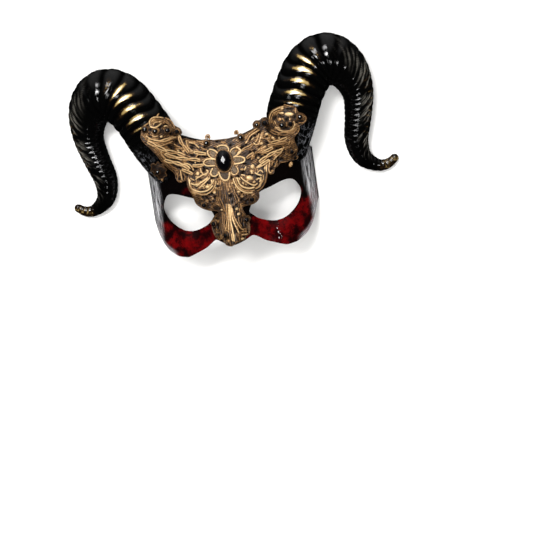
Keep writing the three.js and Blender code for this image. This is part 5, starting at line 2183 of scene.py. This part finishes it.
@dataclass
class Lace:
    """The corded lace over brow, horn roots and nose: drawn on the photograph, laid on its ground.

    pad_rows are shares of an oval's half size, from its middle out; the last of them turn in below
    it. stitch_slants are the slants of the stitches on the right and the left wing, in degrees.
    whirls are the middles of fans and roses, with how far their stitches reach.
    """

    sides: int = 8
    step: float = 0.8
    middle_height: float = 2.2
    cloth_height: float = 1.8
    cloth_wall: float = 1.4
    backing_height: float = 1.0
    backing_wall: float = 0.6
    unevenness: float = 0.16
    flank_shade: float = 0.85
    leaf: float = 9.5
    snug: float = 0.9
    fullest_parting: float = 1.2
    twin_shade: float = 0.16
    pad_rise: float = 1.1
    net_rise: float = 0.25
    pad_sides: int = 18
    pad_rows: tuple = (0, 0.3, 0.55, 0.75, 0.9, 1, 0.6, 0)
    pad_rows_below: int = 2
    hem_cord: float = 0.46
    cup_coils: int = 4
    cup_cord: float = 0.5
    gem_cord: float = 0.7
    ring_corners: int = 24
    cloth_pitch: float = 0.58
    backing_pitch: float = 1.3
    stitch_slants: tuple = (22, 154)
    whirls: tuple = ((20, 9.4, 16), (-19.8, 7.4, 13.5), (54.6, 50, 13), (-50.4, 57, 13))
    seed: int = 7
    heap: MeshHeap = field(default_factory=MeshHeap)
    webs: MeshHeap = field(default_factory=MeshHeap)
    chance: np.random.Generator = field(init=False)

    def __post_init__(self) -> None:
        """Starts the lace's own run of random numbers."""
        self.chance = np.random.default_rng(self.seed)

    def lay(
        self,
        flat: Array,
        radius: float,
        tone: float,
        lift: float = 0.0,
        closed: bool = False,
    ) -> None:
        """Lays a round cord along a flat path: ring = centre + r (cos a n + sin a b).

        Args:
            flat: the path's points by (x, y).
            radius: the cord's radius, which falls to nothing at an open end.
            tone: how pale its crown is; its flanks are darker, painted shade.
            lift: how much higher than usual it lies.
            closed: whether the path is a loop.
        """
        path = even(np.vstack([flat, flat[:1]]) if closed else flat, self.step)
        centre, outward = GROUND.lift(path, self.middle_height + lift)
        along = np.gradient(centre, axis=0)
        if closed:
            along[[0, -1]] = centre[1] - centre[-2]
        across = unit(np.cross(unit(along), outward))
        angle = round_angles(self.sides)[None, :, None]
        size = np.full(len(path), radius)
        if not closed:
            size[[0, -1]] = 0
        ring = outward[:, None] * np.cos(angle) + across[:, None] * np.sin(angle)
        points = centre[:, None] + ring * size[:, None, None]
        run, turn = np.meshgrid(np.arange(len(path)) * self.step, angle.ravel(), indexing="ij")
        # Painted shade: the cord darkens from its crown down its flanks.
        crown = tone - self.flank_shade * (1 - np.cos(turn))
        uv = np.stack([(turn * radius).ravel(), run.ravel()], 1)
        faces = grid_faces(len(path), self.sides, wrap=True)
        self.heap.add(points.reshape(-1, 3), faces[:, ::-1], uv, crown.ravel())

    def draw(self, cord: Cord, paler: float) -> None:
        """Lays a drawn cord, or two that part by a twin's distance and meet again, leaf after leaf.

        Args:
            cord: the drawn cord.
            paler: how much paler its motif is than usual.
        """
        tone = cord.tone + paler + self.chance.uniform(-0.1, 0.1)
        marks = VIEW.on_lace(cord.points)
        path = even(spline(marks, 16 * len(marks)), self.step)
        if cord.twin == 0:
            self.lay(path, cord.radius, tone, cord.lift)
            return
        along = unit(np.gradient(path, axis=0))
        aside = np.stack([-along[:, 1], along[:, 0]], 1)
        leaves = max(round(len(path) * self.step / self.leaf), 1)
        share = np.linspace(0, leaves, len(path))
        least = self.fullest_parting / 3
        bulge = np.abs(np.sin(math.pi * share))[:, None] ** 0.7
        parting = least + (self.fullest_parting - least) * bulge
        for half in (-0.5, 0.5):
            twin = path + aside * (cord.twin + 0.5) * half * parting
            self.lay(twin, cord.radius, tone + self.twin_shade * half, cord.lift)

    def oval(self, spot: Spot) -> tuple[Array, float, float, float]:
        """A drawn oval's middle, half sizes and turn, in millimetres and radians.

        Args:
            spot: an oval in pixels.

        Returns:
            Its middle, two half sizes and turn.
        """
        middle = VIEW.on_lace([(spot.x, spot.y)])[0]
        share = VIEW.mm_per_pixel * self.snug
        return middle, spot.long * share, spot.wide * share, math.radians(spot.turn - VIEW.roll)

    def pad(self, spot: Spot, net: bool = False) -> None:
        """A low closed cushion of satin stitch, or of net: height = rise (1 - t^2) over an oval.

        Its last rows turn in below, to close it.

        Args:
            spot: the drawn oval.
            net: whether it is net.
        """
        middle, long, wide, turn = self.oval(spot)
        t = np.array(self.pad_rows)[:, None]
        a = round_angles(self.pad_sides)[None]
        px, py = long * t * np.cos(a), wide * t * np.sin(a)
        flat = middle + np.stack(turned(px, py, turn), -1)
        below = np.arange(len(t))[:, None] >= len(t) - self.pad_rows_below
        above = (self.net_rise if net else self.pad_rise) * (1 - t**2)
        height = self.cloth_height + np.where(below, -self.cloth_wall, above) + 0 * a
        points, _ = GROUND.lift(flat.reshape(-1, 2), height.ravel())
        heap = self.webs if net else self.heap
        # Satin pads darken towards their rims: painted shade.
        tone = spot.tone - (0 if net else 0.6) * t**3 + 0 * a
        uv = np.stack([px.ravel(), py.ravel()], 1)
        heap.add(points, grid_faces(len(t), a.size, wrap=True), uv, tone.ravel())

    def lie(self, flat: Array) -> Array:
        """Flat places along and across the stitches.

        The first number counts millimetres across them. Stitches lie along the wings, round the
        middles of the fans and roses, and down the nose.

        Args:
            flat: points by (x, y).

        Returns:
            Points by (across, along).
        """
        x, y = flat.T
        slant = np.radians(np.where(x > 0, *self.stitch_slants))
        across = y * np.cos(slant) - x * np.sin(slant)
        along = x * np.cos(slant) + y * np.sin(slant)
        for mx, my, reach in self.whirls:
            away = np.hypot(x - mx, y - my)
            near = away < reach
            across = np.where(near, away, across)
            along = np.where(near, np.arctan2(y - my, x - mx) * reach / 2, along)
        nose = (np.abs(x) < 9.5) & (y < 6) | (y < -20)
        across = np.where(nose, x * (1 + 0.006 * y), across)
        along = np.where(nose, y, along)
        return np.stack([across, along], 1)

    def pierce(self, gap: Spot, corners: Array, shade: Array, middles: Array) -> Array:
        """Cuts one gap: corners inside it move out to its edge, and those round it darken with painted
        shade.

        A place lies inside the gap where (u / a)^2 + (v / b)^2 < 1.

        Args:
            gap: an oval of the drawing.
            corners: the sheet's corners, moved in place.
            shade: how dark each corner is, changed in place.
            middles: the cells' middles.

        Returns:
            Which cells stay.
        """
        middle, long, wide, turn = self.oval(gap)
        c, s = math.cos(turn), math.sin(turn)
        axes = np.array([[c / long, s / long], [-s / wide, c / wide]])
        value = np.hypot(*((corners - middle) @ axes.T).T)
        shade[:] = np.maximum(shade, smooth_step(value, 2.2, 1.0))
        within = value < 1
        out = (corners[within] - middle) / np.maximum(value[within], 0.05)[:, None]
        corners[within] = middle + out
        return np.hypot(*((middles - middle) @ axes.T).T) > 1

    def cloth_tone(self, corners: Array, shade: Array) -> Array:
        """How pale a sheet is: cloudy, with painted shade beside gaps, and darker over the left horn's
        root.

        Args:
            corners: the sheet's corners by (x, y).
            shade: how dark each one is, 0 to 1.

        Returns:
            A tone for each corner.
        """
        x, y = corners.T
        clouds = 0.3 * waves(x, y, 52, 0.5, count=14) + 0.16 * waves(x, y, 53, 1.8, count=12)
        root = smooth_step(-x, 44, 50) * smooth_step(y, 34, 28)
        return 0.34 + clouds - 0.4 * shade - 0.45 * root

    def sheet(
        self,
        name: str,
        pitch: float,
        height: float,
        wall: float,
        gaps: Sequence[Spot],
    ) -> Object:
        """A stitched sheet: a grid of small cells inside the outlines, cut away inside the gaps.

        Corners left outside the outlines are drawn in to the nearest point of them.

        Args:
            name: the piece's name.
            pitch: the cells' size.
            height: how high its upper side lies above the ground.
            wall: its thickness.
            gaps: ovals of the drawing.

        Returns:
            The sheet, with its wall.
        """
        borders = [spline(VIEW.on_lace(o), 12 * len(o), closed=True) for o in (OUTLINE, SIDE_LEAF)]
        rim = np.vstack(borders)
        low, high = rim.min(0), rim.max(0)
        gx, gy = np.meshgrid(*(np.arange(low[k] - 1, high[k] + 1, pitch) for k in (0, 1)))
        corners = np.stack([gx.ravel(), gy.ravel()], 1)
        cells = grid_faces(*gx.shape)
        middles = corners[cells].mean(1)
        stay = np.any([inside(middles, border) for border in borders], axis=0)
        shade = np.zeros(len(corners))
        for gap in gaps:
            stay &= self.pierce(gap, corners, shade, middles)
        used, index = np.unique(cells[stay], return_inverse=True)
        corners, shade = corners[used], shade[used]
        outside = ~np.any([inside(corners, border) for border in borders], axis=0)
        away = np.linalg.norm(corners[outside][:, None] - rim[None], axis=-1)
        corners[outside] = rim[away.argmin(1)]
        uneven = self.unevenness * waves(*corners.T, 51, 1.1, count=14)
        points, _ = GROUND.lift(corners, height + uneven)
        floats = {"tone": self.cloth_tone(corners, shade)}
        faces, uv = index.reshape(-1, 4), self.lie(corners)
        piece = make_piece(name, points, faces, [], floats=floats, uv=uv)
        add_wall(piece, wall)
        return piece

    def ring(self, middle: Array, half: Array | float) -> Array:
        """An oval path round a middle, with half its width and height, or one number for both."""
        angle = round_angles(self.ring_corners)
        return middle + np.stack([np.cos(angle), np.sin(angle)], 1) * half

    def settings(self) -> None:
        """A coiled cup of cord from the cloth up to every bead, and the gem's own ring."""
        for name in BEADS:
            low, high = node_box(name)
            middle, size = (low + high) / 2, (high - low)[0] / 2
            tone = self.chance.uniform(0.3, 0.6)
            ground = GROUND.height(middle[:1], middle[1:2])[0] + self.middle_height
            rise = low[2] + 0.35 * size - ground
            for share in np.linspace(0, 1, self.cup_coils):
                path = self.ring(middle[:2], size + 0.45 - 0.6 * share)
                lift = share * rise - 0.3 * (1 - share)
                self.lay(path, self.cup_cord, tone, lift, closed=True)
        half = np.array([GEM.width, GEM.height]) / 2 + 0.6
        self.lay(self.ring(np.array([GEM.x, GEM.y]), half), self.gem_cord, 0.5, closed=True)

    def build(self) -> list[Object]:
        """All cords and pads as one piece, and the cloth, the nets and the backing as one each.

        Returns:
            The lace's four pieces.
        """
        motifs = (FLOWER, RIGHT_WING, LEFT_WING, RIGHT_FAN, LEFT_FAN, RIGHT_ROSE, LEFT_ROSE, NOSE)
        for motif in motifs:
            for cord in motif.cords:
                self.draw(cord, motif.paler)
            for spot in motif.pads:
                self.pad(spot)
            for spot in motif.nets:
                self.pad(spot, net=True)
        for outline in (OUTLINE, SIDE_LEAF):
            hem = spline(VIEW.on_lace(outline), 10 * len(outline), closed=True)
            self.lay(hem, self.hem_cord, 0.3, -0.35, closed=True)
        self.settings()
        gaps = [gap for motif in motifs for gap in motif.gaps]
        cloth = self.sheet("lace_cloth", self.cloth_pitch, self.cloth_height, self.cloth_wall, gaps)
        cloth.data.materials.append(StitchedCloth().build())
        # The backing is painted shade: a nearly black sheet that darkens every gap in the cloth.
        under = self.backing_pitch, self.backing_height, self.backing_wall
        backing = self.sheet("lace_backing", *under, [])
        backing.data.materials.append(GapShadeTulle().build())
        cords = self.heap.piece("lace_cords", ["lace"], GoldLace().build())
        net = self.webs.piece("lace_net", [], BrownNet().build())
        return [cords, cloth, net, backing]


@dataclass
class Stones:
    """The oval stone and the round beads.

    Each of the stone's rings has a share of its width, a level from 0 at its back to 1 at its top,
    a number of corners, and a turn in steps between them. The rows of a bead's corners are angles
    above its middle, in degrees.
    """

    rings: tuple = ((0.9, 0.0, 16, 0.0), (1.0, 0.22, 16, 0.0), (0.84, 0.5, 16, 0.5))
    kite: tuple = ((0, -1.6), (1.9, 1.5), (0, 4.7), (-1.9, 1.5))
    kite_slope: float = 13.0
    rows: tuple = (-78, -45, -15, 15, 45, 80)
    facets: int = 10
    lean: tuple = (-0.03, 0.29, 0.95)
    unevenness: float = 0.1
    bead_share: float = 0.97
    seed: int = 3
    chance: np.random.Generator = field(init=False)

    def __post_init__(self) -> None:
        """Starts the stones' own run of random numbers."""
        self.chance = np.random.default_rng(self.seed)

    def oval(self, finish: Material) -> Object:
        """The stone: rings of corners from flat back to crown, and the kite-shaped table on top.

        Args:
            finish: the stones' material.

        Returns:
            The oval stone.
        """
        low, high = node_box("gem")
        half = np.array([GEM.width, GEM.height]) / 2
        middle = np.array([GEM.x, GEM.y])
        cloud = []
        for share, level, count, offset in self.rings:
            a = round_angles(count) + offset * FULL_TURN / count
            flat = middle + share * half * np.stack([np.cos(a), np.sin(a)], 1)
            height = np.full(count, low[2] + (high[2] - low[2]) * level)
            cloud.append(np.column_stack([flat, height]))
        kite = np.array(self.kite)
        drop = (kite[:, 1] - kite[:, 1].min()) * math.tan(math.radians(self.kite_slope))
        cloud.append(np.column_stack([middle + kite, high[2] - drop]))
        return self.hull("oval_stone", np.vstack(cloud), "gem", finish)

    def hull(self, name: str, points: Array, node: str, finish: Material) -> Object:
        """A flat-faceted body round a cloud of corners.

        Args:
            name: the piece's name.
            points: the corners.
            node: the CAD node it stands for.
            finish: its material.

        Returns:
            The new object.
        """
        work = bmesh.new()
        for p in (points + SHIFT) * MM:
            work.verts.new(p)
        result = bmesh.ops.convex_hull(work, input=work.verts)
        spare = result["geom_interior"] + result["geom_unused"]
        loose = {corner for corner in spare if isinstance(corner, bmesh.types.BMVert)}
        bmesh.ops.delete(work, geom=list(loose), context="VERTS")
        bmesh.ops.recalc_face_normals(work, faces=work.faces)
        mesh = bpy.data.meshes.new(name)
        work.to_mesh(mesh)
        work.free()
        mesh.materials.append(finish)
        return add_piece(name, mesh, [node])

    def bead(self, node: str, finish: Material) -> Object:
        """One bead: a ball cut with rows of flat facets, whose table leans a little up the face.

        Args:
            node: the bead's CAD node.
            finish: its material.

        Returns:
            The bead.
        """
        low, high = node_box(node)
        middle, radius = (low + high) / 2, (high - low).max() / 2
        axis = unit(np.array(self.lean) + self.chance.normal(0, self.unevenness, 3))
        side = unit(np.cross([0, 1, 0], axis))
        up = np.cross(axis, side)
        cloud = []
        for row, level in enumerate(np.radians(self.rows)):
            a = round_angles(self.facets) + (row % 2) * math.pi / self.facets
            flat = math.cos(level) * (np.cos(a)[:, None] * side + np.sin(a)[:, None] * up)
            cloud.append(middle + radius * self.bead_share * (flat + math.sin(level) * axis))
        return self.hull(f"facet_{node}", np.vstack(cloud), node, finish)

    def build(self) -> list[Object]:
        """The stone and every bead."""
        finish = CutStone().build()
        return [self.oval(finish)] + [self.bead(node, finish) for node in BEADS]


# Studio


@dataclass(frozen=True)
class Lamp:
    """A soft rectangular lamp, in metres and watts, which gloss mirrors or not."""

    name: str
    place: tuple
    size: tuple
    power: float
    mirrored: bool = True

    def hang(self, target: Vector) -> None:
        """Hangs the lamp in the scene.

        Args:
            target: the place it is aimed at, in metres.
        """
        data = bpy.data.lights.new(self.name, "AREA")
        data.shape = "RECTANGLE"
        data.size, data.size_y = self.size
        data.energy = self.power
        lamp = add_object(self.name, data)
        lamp.location = self.place
        way = target - Vector(self.place)
        lamp.rotation_euler = way.to_track_quat("-Z", "Y").to_euler()
        lamp.visible_glossy = self.mirrored


@dataclass
class Studio:
    """Floor, lights and camera."""

    aim: tuple = (0, 0.02, 0.03)
    film_width: float = 36.0
    nearest: float = 0.05
    farthest: float = 50.0
    floor_half: float = 4.0
    dimmest: float = 0.015
    palest: float = 0.36
    lamps: tuple = (
        Lamp("key", (-0.25, 0.7, 1.6), (0.8, 0.3), 27),
        Lamp("front softbox", (0.25, -0.2, 1.75), (0.25, 0.25), 6),
        Lamp("top softbox", (-0.1, 1.5, 1.1), (0.7, 0.5), 12),
        Lamp("ceiling", (0.0, 0.0, 2.4), (2.4, 2.4), 48, mirrored=False),
    )

    def camera(self) -> None:
        """Places the camera so that the gem falls on its pixel of the photograph."""
        right, up, back = VIEW.axes()
        data = bpy.data.cameras.new("camera")
        data.sensor_width = self.film_width
        data.lens = self.film_width * VIEW.distance / (VIEW.picture * VIEW.mm_per_pixel)
        data.clip_start, data.clip_end = self.nearest, self.farthest
        eye = add_object("camera", data)
        turn = Matrix((right, up, back)).transposed().to_4x4()
        eye.matrix_world = Matrix.Translation((VIEW.eye() + SHIFT) * MM) @ turn
        bpy.context.scene.camera = eye

    def surroundings(self) -> bpy.types.World:
        """A dim room, paler low down behind the horns, where their upper sides mirror it.

        Returns:
            The world.
        """
        world = bpy.data.worlds.new("studio")
        world.use_nodes = True
        tree = world.node_tree
        way = add_node(tree, "ShaderNodeTexCoord").outputs["Generated"]
        axes = add_node(tree, "ShaderNodeSeparateXYZ", {"Vector": way})
        links = {"Value": axes.outputs["Y"], "From Min": 0.35, "From Max": 1.0}
        links |= {"To Min": self.dimmest, "To Max": self.palest}
        glow = add_node(tree, "ShaderNodeMapRange", links, interpolation_type="SMOOTHSTEP")
        back = tree.nodes["Background"]
        back.inputs["Color"].default_value = to_linear("ffffff")
        tree.links.new(glow.outputs["Result"], back.inputs["Strength"])
        return world

    def floor(self) -> None:
        """Lays the floor, which nothing mirrors and which is no part of the mask."""
        half = self.floor_half
        corners = [(-half, -half, 0), (half, -half, 0), (half, half, 0), (-half, half, 0)]
        mesh = bpy.data.meshes.new("floor")
        mesh.from_pydata(corners, [], [(0, 1, 2, 3)])
        mesh.materials.append(PaperFloor().build())
        floor = add_object("floor", mesh)
        floor.visible_glossy = False

    def build(self) -> None:
        """Sets up camera, lights, surroundings and floor."""
        self.camera()
        for lamp in self.lamps:
            lamp.hang(Vector(self.aim))
        bpy.context.scene.world = self.surroundings()
        bpy.context.scene.view_settings.view_transform = "Standard"
        self.floor()


def main() -> None:
    """Builds the mask and its studio, and logs each piece's face count."""
    logging.basicConfig(level=logging.INFO, format="%(name)s: %(message)s")
    Studio().build()
    pieces = [FaceShell().build()]
    pieces += [Horn(side).build() for side in (1, -1)]
    pieces += Lace().build()
    pieces += Stones().build()
    for piece in pieces:
        log.info("%s: %d faces", piece.name, len(piece.data.polygons))


if __name__ == "__main__":
    main()
